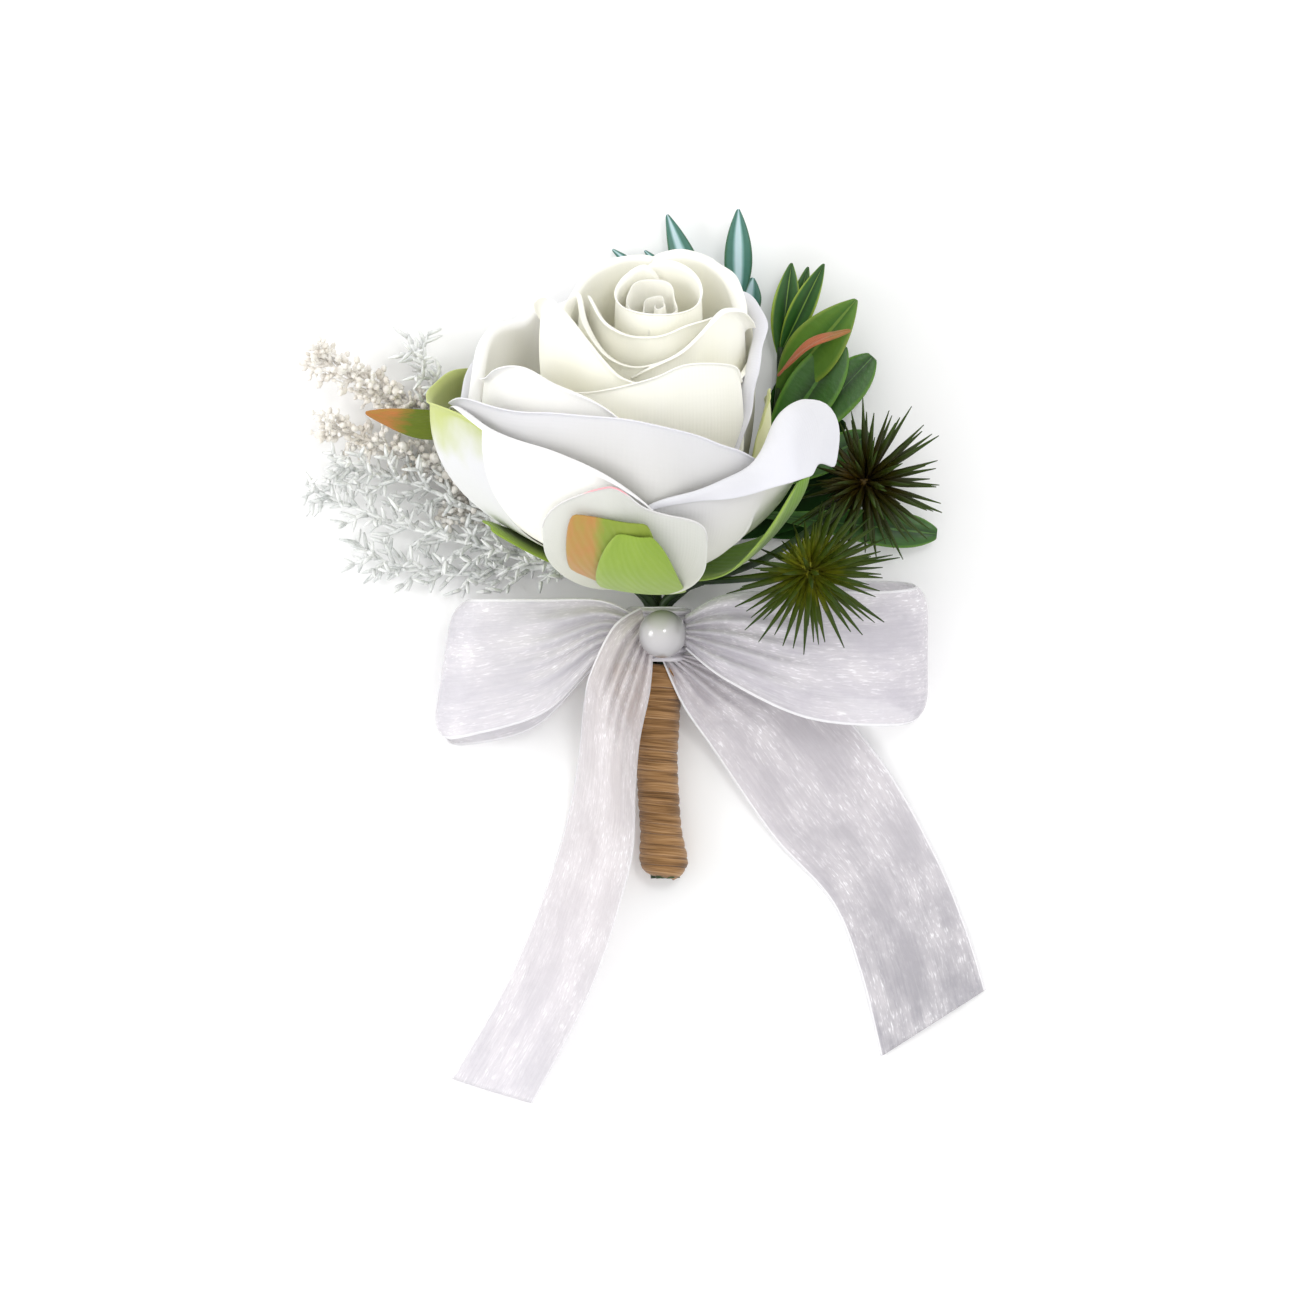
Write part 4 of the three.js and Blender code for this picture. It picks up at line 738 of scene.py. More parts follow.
def near_rose(point, margin):
    local = Matrix.Rotation(-ROSE_TILT, 3, "X") @ (point - ROSE_BASE)
    radius = math.hypot(local.x, local.z)
    for (h0, r0), (h1, r1) in zip(ROSE_REACH, ROSE_REACH[1:]):
        if h0 <= local.y <= h1:
            return radius < r0 + (r1 - r0) * (local.y - h0) / (h1 - h0) + margin
    return False


def near_bow(point, margin):
    top = BOW_TOP_LEFT if point.x < 0 else BOW_TOP_RIGHT
    beside = abs(point.x) < BOW_HALF_WIDTH and point.y < top + margin
    return beside and BOW_BACK - margin < point.z < BOW_FRONT + margin


def clear_twig(start, end, margin, floor, nearer=0):
    """True if a straight twig keeps off the rose and the bow, and above the floor. It may come
    nearer to the rose on the right, where its petals reach less far."""
    for share in (0.4, 0.7, 1):
        point = start.lerp(end, share)
        if point.z < floor or near_rose(point, margin - nearer) or near_bow(point, margin):
            return False
    return True


def kept_shape(model):
    """The points and faces of a model that is to be copied. The model itself is taken away."""
    points = [vertex.co.copy() for vertex in model.data.vertices]
    faces = [tuple(face.vertices) for face in model.data.polygons]
    bpy.data.objects.remove(model)
    return points, faces


WAIST_AT = 0.55


def needle_model(sides, waist, tip):
    """One needle, a unit long along +Z and a unit in radius at its root, narrower from its waist."""
    model = started(
        "needle", bpy.ops.mesh.primitive_cone_add, vertices=sides, radius1=1, radius2=tip, depth=1,
        location=(0, 0, 0.5))
    bpy.ops.object.transform_apply(location=True)
    bpy.ops.object.mode_set(mode="EDIT")
    bpy.ops.mesh.select_all(action="SELECT")
    bpy.ops.mesh.bisect(plane_co=(0, 0, WAIST_AT), plane_no=(0, 0, 1))
    bpy.ops.object.mode_set(mode="OBJECT")
    for vertex in model.data.vertices:
        if abs(vertex.co.z - WAIST_AT) < 0.01:
            width = math.hypot(vertex.co.x, vertex.co.y)
            vertex.co.x *= waist / width
            vertex.co.y *= waist / width
    return kept_shape(model)


def copies_of(name, model, places):
    """One object of many copies of a model, each from a start to an end with its own radius."""
    points, faces = model
    vertices = []
    polygons = []
    for start, end, radius in places:
        way = end - start
        turn = way.to_track_quat("Z", "Y")
        first = len(vertices)
        for point in points:
            local = Vector((point.x * radius, point.y * radius, point.z * way.length))
            spot = start + turn @ local
            spot.z = max(spot.z, TABLE_GAP)
            vertices.append(placed(spot))
        polygons.extend(tuple(first + k for k in face) for face in faces)
    mesh = bpy.data.meshes.new(name)
    mesh.from_pydata(vertices, [], polygons)
    mesh.update()
    piece = bpy.data.objects.new(name, mesh)
    bpy.context.collection.objects.link(piece)
    for polygon in mesh.polygons:
        polygon.use_smooth = True
    return piece


def needle_plastic(name, centre, stops, reach):
    """Moulded plastic that is coloured from the knob outwards: the dye is sprayed on at the middle."""
    plastic = new_material(name)
    at = add(plastic, "TexCoord", out="Object")
    away = add(plastic, "VectorMath", at, placed(centre), operation="DISTANCE")
    mottle = add(plastic, "TexNoise", at, Scale=420, Detail=2)
    share = add(plastic, "MapRange", away, From_Max=reach / 1000)
    mixed = add(plastic, "Math", mottle, 0.3, share, operation="MULTIPLY_ADD")
    colour = add(plastic, "ValToRGB", mixed, stops=stops)
    bump = add(plastic, "Bump", Height=mottle, Strength=0.2, Distance=0.0002)
    return finished(plastic, Base_Color=colour, Normal=bump, Roughness=0.5, Specular_IOR_Level=0.2)


PICK_FORK = Vector((7, 8.8, 10.4))
ROSETTES = [
    ("lower", Vector((24.7, 10.4, 23)), [PICK_FORK, (14, 9.2, 15)], 110, 15,
     [(0.25, "#ACAA34"), (0.42, "#7A8018"), (0.62, "#43520C"), (0.95, "#2E420C")]),
    ("upper", Vector((34, 25.4, 13)), [PICK_FORK, (17, 12.4, 9.6), (27, 19, 10.6)], 125, 14.6,
     [(0.25, "#5A4410"), (0.45, "#3A3206"), (0.7, "#2A3206"), (1, "#34480E")]),
]
GOLDEN = math.pi * (3 - math.sqrt(5))
LEAF_LAYER = 7.4
KNOB_RADIUS = 2.2
ROOT_RADIUS = 1.2
NEEDLE = needle_model(4, 0.9, 0.16)
for name, centre, route, count, reach, stops in ROSETTES:
    draw = random.Random(name)
    places = []
    for k in range(count):
        z = 1 - (2 * k + 1) / count
        ring = math.sqrt(1 - z * z)
        way = Vector((ring * math.cos(k * GOLDEN), ring * math.sin(k * GOLDEN), z))
        way = (way + Vector([draw.uniform(-0.12, 0.12) for _ in range(3)])).normalized()
        root = centre + way * ROOT_RADIUS
        tip = centre + way * reach * draw.uniform(0.8, 1.02)
        for share in (1, 0.8, 0.6, 0.4):
            end = root.lerp(tip, share)
            if clear_twig(root, end, 0.7, LEAF_LAYER, nearer=6):
                places.append((root, end, draw.uniform(0.4, 0.54)))
                break
    green = needle_plastic(f"needle_plastic_{name}", centre, stops, reach)
    needles = copies_of(f"needles_{name}", NEEDLE, places)
    hand_over(needles, green, "needle_pick")
    knob = started(
        f"needle_knob_{name}", bpy.ops.mesh.primitive_ico_sphere_add, subdivisions=3, radius=KNOB_RADIUS)
    for vertex in knob.data.vertices:
        lumps = 1 + 0.14 * math.sin(vertex.co.x * 9) * math.sin(vertex.co.y * 8)
        vertex.co = placed(centre + vertex.co * lumps)
    bpy.ops.object.shade_smooth()
    hand_over(knob, green, "needle_pick")
    arm = tube_piece(f"pick_arm_{name}", [*route, centre], lambda share: 0.6, steps=24)
    hand_over(arm, STEM_GREEN, "needle_pick")
pick_stem = tube_piece(
    "pick_stem", stem_route("pick", [(3.4, 7.4, 9.2), PICK_FORK]), lambda share: STEM_RADIUS)
hand_over(pick_stem, STEM_GREEN, "needle_pick")

# ---------------------------------------------------------------- the frosted sprays
# Two moulded plastic sprays, flocked and frosted over. The silver one has fine forked needles and
# the beige one small buds on short stalks.


def frosting(name, shade, main, pale):
    """Frost powder on plastic: matt, grainy, with pale crystals that catch the light."""
    frost = new_material(name)
    at = add(frost, "TexCoord", out="Object")
    mottle = add(frost, "TexNoise", at, Scale=330, Detail=5, Roughness=0.65)
    colour = add(frost, "ValToRGB", mottle, stops=[(0.32, shade), (0.47, main), (0.66, pale)])
    grains = add(frost, "TexVoronoi", at, Scale=1900)
    bump = add(frost, "Bump", Height=grains, Strength=0.5, Distance=0.0002)
    return finished(
        frost, Base_Color=colour, Normal=bump, Roughness=0.7, Specular_IOR_Level=0.4, Sheen_Weight=0.3)


SILVER = frosting("frosting_silver", "#C9CDCB", "#EAECEA", "#FAFBF9")
CREAM = frosting("frosting_cream", "#D8D0C4", "#EEE9E1", "#FAF8F4")
TWIG = needle_model(4, 0.95, 0.45)
SPRAY_LEFT = -60.4


def side_way(way, turn):
    """A direction square to way, turned round it."""
    side = way.cross(Vector((0, 0, 1))).normalized()
    over = side.cross(way)
    return side * math.cos(turn) + over * math.sin(turn)


def grow_spray(branches, every, twig_length, needle_length, needle_every, thickness, seed, floor):
    """Start, end and radius of every twig of a spray and every needle on it. A branch is its line,
    the share of it where its twigs begin, and how long they are beside the others."""
    draw = random.Random(seed)
    pieces = []
    for line, begin, ends in branches:
        long = sum((Vector(a) - Vector(b)).length for a, b in zip(line, line[1:]))
        count = round(long * (1 - begin) / every)
        for k in range(count + 1):
            share = begin + (1 - begin) * k / count
            at = line_at(line, share)
            way = line_way(line, share)
            out = side_way(way, 2.4 * k + draw.uniform(-0.5, 0.5))
            length = twig_length * ends * draw.uniform(0.65, 1.1) * (1 - 0.35 * share)
            tip = at + (way * 0.85 + out).normalized() * length
            for shorter in (1, 0.7, 0.45):
                end = at.lerp(tip, shorter)
                if end.x > SPRAY_LEFT and clear_twig(at, end, 0.3, floor):
                    break
            else:
                continue
            pieces.append((at, end, thickness))
            stretch = end - at
            onward = stretch.normalized()
            rows = max(2, int(stretch.length / needle_every))
            for row in range(1, rows + 1):
                foot = at.lerp(end, row / rows)
                for swing in (-1, 1):
                    lean = side_way(onward, draw.uniform(0, 3.2) * swing)
                    needle = (onward * 0.9 + lean).normalized() * needle_length
                    needle = foot + needle * draw.uniform(0.7, 1.15)
                    if needle.x > SPRAY_LEFT and clear_twig(foot, needle, 0.2, floor):
                        pieces.append((foot, needle, thickness * 0.85))
    return pieces


def spray_wood(spray, branches, neck, taper, neck_steps, frost):
    """A spray's branches with the neck that they spring from, and its stem in the bundle."""
    node = f"{spray}_spray"
    tubes = [
        tube_piece(f"{spray}_branch_{k}", line, lambda share: 0.55 - taper * share, sides=6, steps=24)
        for k, (line, _, _) in enumerate(branches)
    ]
    tubes.append(tube_piece(f"{spray}_neck", neck, lambda share: 0.6, steps=neck_steps))
    hand_over(joined(f"{spray}_stems", tubes), frost, node)
    stem = tube_piece(f"{spray}_stem", stem_route(node, neck[:1]), lambda share: STEM_RADIUS)
    hand_over(stem, STEM_GREEN, node)


SILVER_BRANCHES = [
    ([(-8, 9.4, 8.4), (-14, 11.8, 7), (-28, 14.2, 5), (-44, 18.4, 5.4), (-58, 24, 8)], 0.2, 1),
    ([(-14, 11.8, 7), (-26, 10.6, 3.6), (-38, 10.2, 3), (-49, 13, 5)], 0.2, 1),
    ([(-14, 11.8, 7), (-27, 18.6, 4.4), (-42, 25.4, 5), (-53, 27.6, 8)], 0.3, 1),
    ([(-11, 10.6, 7.7), (-20, 18.6, 3.8), (-31, 31, 2.7), (-36, 38.5, 4), (-41, 47, 8)], 0.66, 1),
]
SILVER_NECK = [(-4, 7.6, 8.8), (-8, 9.4, 8.4), (-14, 11.8, 7)]
silver_pieces = grow_spray(SILVER_BRANCHES, 1.1, 6.6, 2.8, 1.5, 0.42, 5, 0.7)
silver_needles = copies_of("silver_needles", TWIG, silver_pieces)
hand_over(silver_needles, SILVER, "silver_spray")
spray_wood("silver", SILVER_BRANCHES, SILVER_NECK, 0.3, 8, SILVER)

CREAM_BRANCHES = [
    ([(-21, 28, 1.2), (-29, 34, 1.1), (-36, 36.6, 1.3), (-46, 40, 5), (-57, 45.8, 9)], 0.5, 1),
    ([(-14, 22, 1.3), (-24, 25.6, 1.4), (-36, 27.6, 2), (-55, 34.8, 7)], 0.4, 1),
    ([(-14, 22, 1.3), (-24, 21.6, 1.4), (-35, 20.4, 1.8)], 0.3, 0.7),
]
CREAM_NECK = [(-2.8, 8, 3.8), (-7.5, 14, 2.2), (-14, 22, 1.3), (-21, 28, 1.2), (-29, 34, 1.1)]
cream_pieces = grow_spray(CREAM_BRANCHES, 0.5, 4.4, 1.5, 1.1, 0.36, 9, 0.9)
cream_twigs = copies_of("cream_twigs", TWIG, cream_pieces)
hand_over(cream_twigs, CREAM, "cream_spray")

# A bud ends each twig and stalk, a large one where that is a long one.
LONG_TWIG = 2.6
LARGE_BUD = 0.9
SMALL_BUD = 0.6
bud = started("bud", bpy.ops.mesh.primitive_ico_sphere_add, subdivisions=1, radius=1)
for vertex in bud.data.vertices:
    vertex.co.z = vertex.co.z * 0.5 + 0.5
    vertex.co.x *= 1 - 0.3 * vertex.co.z
    vertex.co.y *= 1 - 0.3 * vertex.co.z
bud_places = []
for k, (start, end, _) in enumerate(cream_pieces):
    way = (end - start).normalized()
    large = (end - start).length > LONG_TWIG
    size = (LARGE_BUD if large else SMALL_BUD) * (1 + 0.25 * math.sin(2.1 * k))
    bud_places.append((end - way * size * 0.7, end + way * size * 1.5, size))
cream_buds = copies_of("cream_buds", kept_shape(bud), bud_places)
hand_over(cream_buds, CREAM, "cream_spray")
spray_wood("cream", CREAM_BRANCHES, CREAM_NECK, 0.2, 16, CREAM)

# ---------------------------------------------------------------- the floral tape
# Waxed crepe-paper tape, dark green, stretched round the neck of the bundle in slanting turns.

SKIN = 0.35
KNOT_RADIUS = 5.2
TAPE_RADIUS = KNOT_RADIUS - 1 - SKIN
BUNDLE_RADIUS = STEM_PITCH + STEM_RADIUS + SKIN
TWINE_TOP = -4
TAPE_TURNS = 20


def on_bundle(radius, degrees, y):
    """A point round the bundle's middle line: 0 degrees faces right and 90 up."""
    at = bundle_at(y)
    angle = math.radians(degrees)
    return Vector((at.x + radius * math.cos(angle), y, at.z + radius * math.sin(angle)))


def tape_bend(co):
    """Lays the turned tape on the bundle, with slanting ridges on its outside."""
    angle = math.degrees(math.atan2(co.z, co.x))
    radius = math.hypot(co.x, co.z)
    if radius > BUNDLE_RADIUS + 0.1:
        radius += 0.12 * math.sin(math.radians(angle) + co.y * 2.6)
    return on_bundle(radius, angle, co.y)


tape_profile = [(TAPE_RADIUS - 0.25, TWINE_TOP + SKIN)]
tape_profile += [(TAPE_RADIUS, TWINE_TOP + 1.2 + 0.35 * k) for k in range(TAPE_TURNS)]
tape_profile += [
    (TAPE_RADIUS - 0.5, TAPE_TOP - 0.6), (TAPE_RADIUS - 0.9, TAPE_TOP - 0.1),
    (BUNDLE_RADIUS, TAPE_TOP - 0.1), (BUNDLE_RADIUS, 0), (BUNDLE_RADIUS, TWINE_TOP + SKIN),
    (TAPE_RADIUS - 0.25, TWINE_TOP + SKIN),
]
tape = turned("tape_turns", tape_profile, 40, tape_bend)
TAPE_PAPER = moulded_plastic("tape_waxed_crepe_paper", "#0B140A", "#16240F", "#24361A", roughness=0.7)
hand_over(tape, TAPE_PAPER, "floral_tape")

# ---------------------------------------------------------------- the jute handle
# Two-ply jute twine, about 1.8 mm thick, wound tightly round the stems from the bow down to the cut
# ends. It is hairy and uneven, tan with dark strands.

TWINE_PITCH = 1.8
WRAP_BOTTOM = HANDLE_END + 0.6
WRAP = TWINE_TOP - WRAP_BOTTOM
TURNS = round(WRAP / TWINE_PITCH)
PITCH = WRAP / TURNS
HANDLE_RADIUS = 3.6


def twine_radius(y):
    """The handle's radius: wider over the 20 mm below the bow, thick again near the foot, and
    rounded off over its last 3.4 mm."""
    flare = 1.3 * ease((y - TWINE_TOP + 20) / 20)
    bulge = 0.6 * math.exp(-(((y + 37.6) / 3) ** 2))
    rounding = 2.4 * max(0.0, (HANDLE_END + 3.4 - y) / 3.4) ** 2
    return HANDLE_RADIUS + flare + bulge - rounding


thick = random.Random(31)
swell = [thick.uniform(-0.06, 0.06) for _ in range(TURNS * 4 + 2)]


def twine_surface(u, v):
    """A point on the twine: v runs along all its turns and u round it."""
    y = WRAP_BOTTOM + PITCH / 2 + (WRAP - PITCH) * v
    k = v * (len(swell) - 2)
    loose = swell[int(k)] * (1 - k % 1) + swell[int(k) + 1] * (k % 1)
    twist = math.pi * u
    body = 0.92 * (1 + loose)
    wider = 2.4 * ease((y + 19) / 12) * max(0, -math.cos(2 * math.pi * TURNS * v)) ** 2
    y += 2.2 * loose + 1.25 * body * math.sin(twist)
    out = twine_radius(y) + wider - 0.6 + 0.55 * body * math.cos(twist)
    point = on_bundle(out, 360 * TURNS * v, y)
    point.z = max(point.z, TABLE_GAP)
    return point


twine = laid_grid("jute_twine", 10, TURNS * 36, twine_surface)
bpy.ops.object.mode_set(mode="EDIT")
bpy.ops.mesh.select_all(action="SELECT")
bpy.ops.mesh.remove_doubles(threshold=1e-6)
bpy.ops.mesh.fill_holes(sides=12)
bpy.ops.mesh.normals_make_consistent(inside=False)
bpy.ops.object.mode_set(mode="OBJECT")
bpy.ops.object.shade_smooth()

# Jute fibre: dull and a little hairy, in pale and dark strands along the twine and wider dark patches.
JUTE = new_material("jute_two_ply_twine")
jute_uv = add(JUTE, "TexCoord", out="UV")
strands_at = add(JUTE, "Mapping", jute_uv, Scale=(26, TURNS * 2.4, 1))
strands = add(JUTE, "TexNoise", strands_at, Scale=1, Detail=4)
patches_at = add(JUTE, "Mapping", jute_uv, Scale=(3, TURNS * 1.1, 1))
patches = add(JUTE, "TexNoise", patches_at, Scale=1, Detail=2)
patched = add(JUTE, "Math", patches, 0.5, operation="MULTIPLY")
fibre = add(JUTE, "Math", strands, 0.7, patched, operation="MULTIPLY_ADD")
jute_colour = add(
    JUTE, "ValToRGB", fibre, stops=[(0.4, "#533920"), (0.5, "#775633"), (0.6, "#977148"), (0.74, "#BA9267")])
jute_bump = add(JUTE, "Bump", Height=strands, Strength=0.8, Distance=0.0004)
finished(
    JUTE, Base_Color=jute_colour, Normal=jute_bump, Roughness=0.95, Specular_IOR_Level=0.15,
    Sheen_Weight=0.3)
hand_over(twine, JUTE, "jute_wrap")

# ---------------------------------------------------------------- the bow
# Sheer white polyester organza, 22 mm wide with woven selvages, tied round the neck: two loops, two
# tails cut on the slant, and a gathered band over the knot. Metallic threads glint in the weave; the
# glints are painted highlights, near-white flecks in its colour, and the stretches are painted in
# lighter and darker tones as painted shade.

ORGANZA = 0.22
RIBBON_WIDTH = 22


def organza(name, length, near, far):
    """Sheer organza: milky between fine threads, with white selvages and thin glints in clusters."""
    weave = new_material(name)
    uv = add(weave, "TexCoord", out="UV")
    across = add(weave, "SeparateXYZ", uv, out="X")
    off = add(weave, "Math", across, 0.5, operation="SUBTRACT")
    away = add(weave, "Math", off, operation="ABSOLUTE")
    selvage = add(weave, "MapRange", away, 0.478, 0.486)
    # The width and length in mm, and the detail, of metallic threads, milky clouds and weft.
    threads, clouds, weft = [
        add(
            weave, "TexNoise", add(weave, "Mapping", uv, Scale=(RIBBON_WIDTH / wide, length / long, 1)),
            Scale=1, Detail=detail)
        for wide, long, detail in ((0.32, 1.4, 2), (6, 9, 5), (0.6, 12, 3))
    ]
    # Painted highlights: where the thread noise peaks inside the clusters, the colour goes to near-white for
    # the glints of the metallic threads, and the cloth is a little denser there.
    spots = add(weave, "MapRange", threads, 0.54, 0.74)
    cluster = add(weave, "MapRange", clouds, 0.42, 0.62, 0.12, 1)
    painted_glints = add(weave, "Math", spots, cluster, operation="MULTIPLY")
    streaks = add(weave, "Math", weft, 0.35, clouds, operation="MULTIPLY_ADD")
    sheer = add(weave, "MapRange", streaks, 0.5, 0.85, 0.44, 0.62)
    denser = add(weave, "Math", painted_glints, 0.25, sheer, operation="MULTIPLY_ADD")
    woven = add(weave, "Math", selvage, 0.2, denser, operation="MULTIPLY_ADD", use_clamp=True)
    # Painted shade: the colour runs from the stretch's near tone to its far tone.
    outward = add(weave, "Math", across.node.outputs["Y"], 1.6, operation="POWER")
    ground = add(weave, "Mix", outward, near, far, data_type="RGBA")
    paler = add(weave, "MapRange", streaks, 0.55, 0.9, 0, 0.6)
    mottled = add(weave, "Mix", paler, ground, "#F6F2F4", data_type="RGBA")
    light = add(weave, "Math", selvage, painted_glints, operation="MAXIMUM")
    colour = add(weave, "Mix", light, mottled, "#FDFCFF", data_type="RGBA")
    bump = add(weave, "Bump", Height=threads, Strength=0.3, Distance=0.0002)
    return finished(
        weave, Base_Color=colour, Alpha=woven, Normal=bump, Roughness=0.42, Specular_IOR_Level=0.5,
        Sheen_Weight=0.2)


PLEATS = 5


def ribbon_surface(left, right, bulge, corner):
    """A stretch between two edge lines. Where they are closer together than the ribbon is wide, it
    gathers into pleats that take up the rest of its width. Corner rounds the ends of a loop's fold."""
    def surface(u, v):
        start = line_at(left, v)
        end = line_at(right, v)
        width = (end - start).length
        fullness = max(1.0, RIBBON_WIDTH / width)
        depth = min(0.8, 1.5 * math.sqrt(fullness**2 - 1) * width / (2 * math.pi * PLEATS))
        at = start.lerp(end, (u + 1) / 2)
        at.x += corner * u**8 * math.exp(-(((v - 0.5) / 0.09) ** 2))
        at.z += bulge * ease(4 * v) * (1 - u * u)
        at.z += depth * math.sin(PLEATS * math.pi * (u + 0.12 * math.sin(3 * u))) * (1 - ease(4 * v - 0.6))
        at.z = max(at.z, ORGANZA)
        return at

    return surface


LOOP_LEFT = (
    [(-4.1, 3, 13.4), (-10, 5.6, 14.4), (-20, 5.8, 15.2), (-30, 5.8, 14.2), (-34.6, 5.7, 9.8),
     (-31, 5.4, 5.2), (-20, 5.2, 4.4), (-10, 4.6, 7.4), (-4.3, 2.6, 11.2)],
    [(-4.1, -2.4, 13.4), (-10.4, -4.4, 14.2), (-19.6, -13.2, 14.8), (-33, -17.2, 13.6), (-38.2, -17.4, 9.4),
     (-33, -18.6, 4.8), (-21, -15.6, 4.2), (-11, -5.6, 7.2), (-4.3, -2, 11.2)],
)
LOOP_RIGHT = (
    [(4.1, -2.4, 13.4), (11, -7.8, 14.2), (24, -14, 14.6), (38, -15.4, 13.8), (44.4, -14, 9.6),
     (38, -11.8, 5.2), (24, -9.2, 4.4), (11, -4.6, 7), (4.3, -2, 11.2)],
    [(4.1, 3, 13.4), (11, 6.6, 14.4), (24, 7.2, 14.8), (38, 7.2, 14), (44.4, 8, 9.8),
     (38, 8.9, 5.4), (24, 8.4, 4.6), (11, 6, 7.2), (4.3, 2.6, 11.2)],
)
TAIL_LEFT = (
    [(-3.3, 4.4, 15.8), (-7.8, 1.4, 16.8), (-11.5, -5.7, 15.6), (-12.8, -11.2, 12.4), (-13.8, -21.2, 5.5),
     (-15.7, -31.2, 1.6), (-18.7, -41.2, 0.4), (-22.5, -51.2, 0.4), (-27.2, -61.2, 0.4), (-35, -74.4, 0.4)],
    [(-1.4, -3, 16), (-1.9, -9.5, 14.4), (-3.6, -17.8, 12), (-4.3, -26.2, 11.2), (-4.7, -36.2, 11.2),
     (-6.7, -44.5, 11.2), (-9.2, -52.8, 11), (-12.5, -61.2, 11), (-16.7, -69.5, 10.6), (-21.5, -78.3, 10)],
)
TAIL_RIGHT = (
    [(0.3, -4.4, 11.4), (3.7, -12, 7.8), (8.8, -19.5, 4), (18.6, -33.7, 1.4), (28.4, -44.5, 0.4),
     (33.2, -56.2, 0.4), (36.8, -70.7, 0.4)],
    [(4.3, -3.6, 10.4), (15.5, -5.6, 3.2), (26.5, -9.6, 1.4), (37.5, -22, 1.2), (46, -37, 1),
     (51, -49, 0.8), (54.3, -59.5, 0.6)],
)
# The near and far tones of the one organza are painted light and shade: lighter on the left, darker on the
# right and greying towards the right tail's far end. The left tail's near tone is tinted tan where it lies
# over the jute.
RIBBONS = [
    ("organza_loop_left", "ribbon_loop_left", LOOP_LEFT, 0, 2.4, 72, "gathered", "#E0DDE4", "#E0DDE4"),
    ("organza_loop_right", "ribbon_loop_right", LOOP_RIGHT, 0, -2, 86, "gathered", "#D8D4DC", "#D8D4DC"),
    ("organza_tail_left", "ribbon_tail_left", TAIL_LEFT, 3.6, 0, 83, "laid", "#E0D8D9", "#D4D0D8"),
    ("organza_tail_right", "ribbon_tail_right", TAIL_RIGHT, 1.2, 0, 79, "laid", "#DCD6DC", "#A6A3AB"),
]
for name, node, (left, right), bulge, corner, length, held, near, far in RIBBONS:
    stretch = cloth_piece(name, 40, 80, ribbon_surface(left, right, bulge, corner), ORGANZA, levels=0)
    hand_over(stretch, organza(name + "_weave", length, near, far), node)


BAND_HALF = 4.5


def band_surface(u, v):
    """The band goes once round the neck and over the front of the knot, with its width in pleats."""
    angle = 360 * v
    lift = 3.2 * math.exp(-(((angle - 90) / 42) ** 2)) + 3.2 * math.exp(-(((angle - 450) / 42) ** 2))
    pleats = 0.5 * math.cos(7 * math.pi * u + 0.8 * math.sin(3 * math.pi * v))
    return on_bundle(KNOT_RADIUS - 0.3 + lift + pleats, angle, BAND_HALF * u)


band = cloth_piece("organza_band", 64, 56, band_surface, ORGANZA, levels=0)
hand_over(band, organza("organza_band_weave", 34, "#E6E2EA", "#E6E2EA"), "ribbon_knot")

# ---------------------------------------------------------------- the pearl
# An 8 mm acrylic craft pearl with a nacre coat. Its drilled hole, which a thread goes through, is drawn as a
# dimple at each end; the thread is not made.

PEARL_RADIUS = 4
HOLE_RADIUS = 0.55
bead = started(
    "pearl_bead", bpy.ops.mesh.primitive_uv_sphere_add, segments=64, ring_count=40, radius=PEARL_RADIUS)
for vertex in bead.data.vertices:
    off_axis = math.hypot(vertex.co.x, vertex.co.y)
    dimple = 0.9 * math.exp(-((off_axis / HOLE_RADIUS) ** 2)) * (1 if vertex.co.z > 0 else -1)
    vertex.co.z -= dimple
    vertex.co = placed(Vector((vertex.co.z, vertex.co.y, -vertex.co.x)) + PEARL_CENTRE)
bpy.ops.object.shade_smooth()

# Nacre on acrylic: a sharp gloss coat over a soft sheen. The colour follows how far the surface turns from
# the view: darker towards the rim, as painted shade, and lighter again at the very rim, as a painted
# reflection, with a faint cloudy mottle.
NACRE = new_material("acrylic_pearl_nacre")
facing = add(NACRE, "LayerWeight", Blend=0.35, out="Facing")
nacre_at = add(NACRE, "TexCoord", out="Object")
cloudy = add(NACRE, "TexNoise", nacre_at, Scale=300, Detail=3)
painted_facing_shade = add(NACRE, "Math", cloudy, 0.12, facing, operation="MULTIPLY_ADD")
nacre = add(
    NACRE, "ValToRGB", painted_facing_shade, stops=[(0.05, "#C4C1C4"), (0.4, "#A5A3A5"), (0.7, "#898889"), (1, "#C2C1C9")])
finished(
    NACRE, Base_Color=nacre, Roughness=0.3, Specular_IOR_Level=0.5, Coat_Weight=1, Coat_Roughness=0.06)
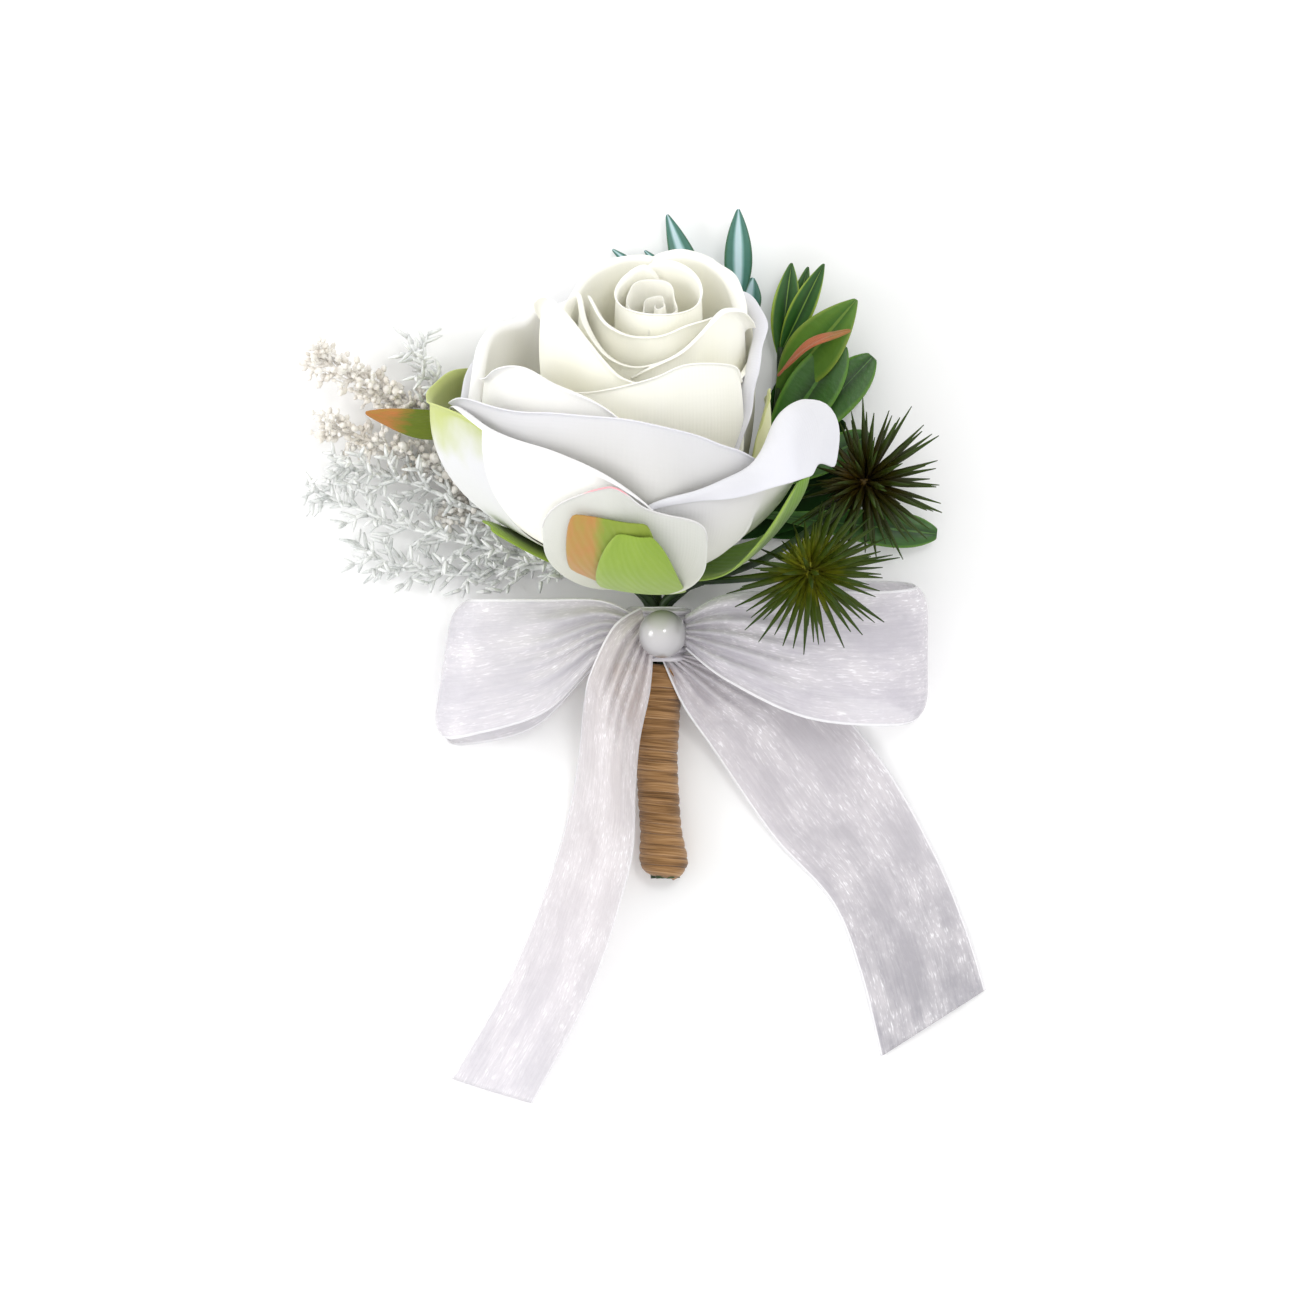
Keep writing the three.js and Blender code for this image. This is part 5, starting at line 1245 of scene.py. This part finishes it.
hand_over(bead, NACRE, "pearl")

# ---------------------------------------------------------------- table, light and camera
# A plain white table in white surroundings, a soft light low at the left and a small one above, and
# a long lens that looks straight down.

TABLE_SIZE = 8
TABLE_DROP = 0.0002
table = started(
    "table", bpy.ops.mesh.primitive_plane_add, size=TABLE_SIZE, location=(0, 0, -TABLE_DROP))

# White laminate: matt and all but even.
TABLE_WHITE = new_material("table_white_laminate")
table_at = add(TABLE_WHITE, "TexCoord", out="Object")
speck = add(TABLE_WHITE, "TexNoise", table_at, Scale=30, Detail=3)
pale = add(TABLE_WHITE, "ValToRGB", speck, stops=[(0.3, "#FAFAFA"), (0.7, "#FCFCFC")])
finished(TABLE_WHITE, Base_Color=pale, Roughness=0.9, Specular_IOR_Level=0.1)
table.data.materials.append(TABLE_WHITE)


def soft_light(name, place, size, watts):
    """A round soft box that faces the origin."""
    data = bpy.data.lights.new(name, "AREA")
    data.shape = "DISK"
    data.size = size
    data.energy = watts
    light = bpy.data.objects.new(name, data)
    light.location = place
    light.rotation_euler = Vector(place).to_track_quat("Z", "Y").to_euler()
    bpy.context.collection.objects.link(light)


soft_light("key", (-0.6, 0.04, 0.42), 0.3, 1.3)
soft_light("top_strobe", (0.14, 0.17, 0.67), 0.16, 0.7)
SURROUNDINGS = 1.04
world = bpy.data.worlds.new("studio")
bpy.context.scene.world = world
world.use_nodes = True
background = world.node_tree.nodes["Background"]
background.inputs["Color"].default_value = (1, 1, 1, 1)
background.inputs["Strength"].default_value = SURROUNDINGS
bpy.context.scene.view_settings.view_transform = "Standard"

VIEW_WIDTH = 217.5
LENS = 500
SENSOR = 36
view_centre = placed((-1.42, -3.08, 12))
camera_data = bpy.data.cameras.new("camera")
camera_data.lens = LENS
camera_data.sensor_width = SENSOR
camera_data.clip_end = 50
camera = bpy.data.objects.new("camera", camera_data)
camera.location = view_centre + Vector((0, 0, VIEW_WIDTH * LENS / SENSOR / 1000))
bpy.context.collection.objects.link(camera)
bpy.context.scene.camera = camera
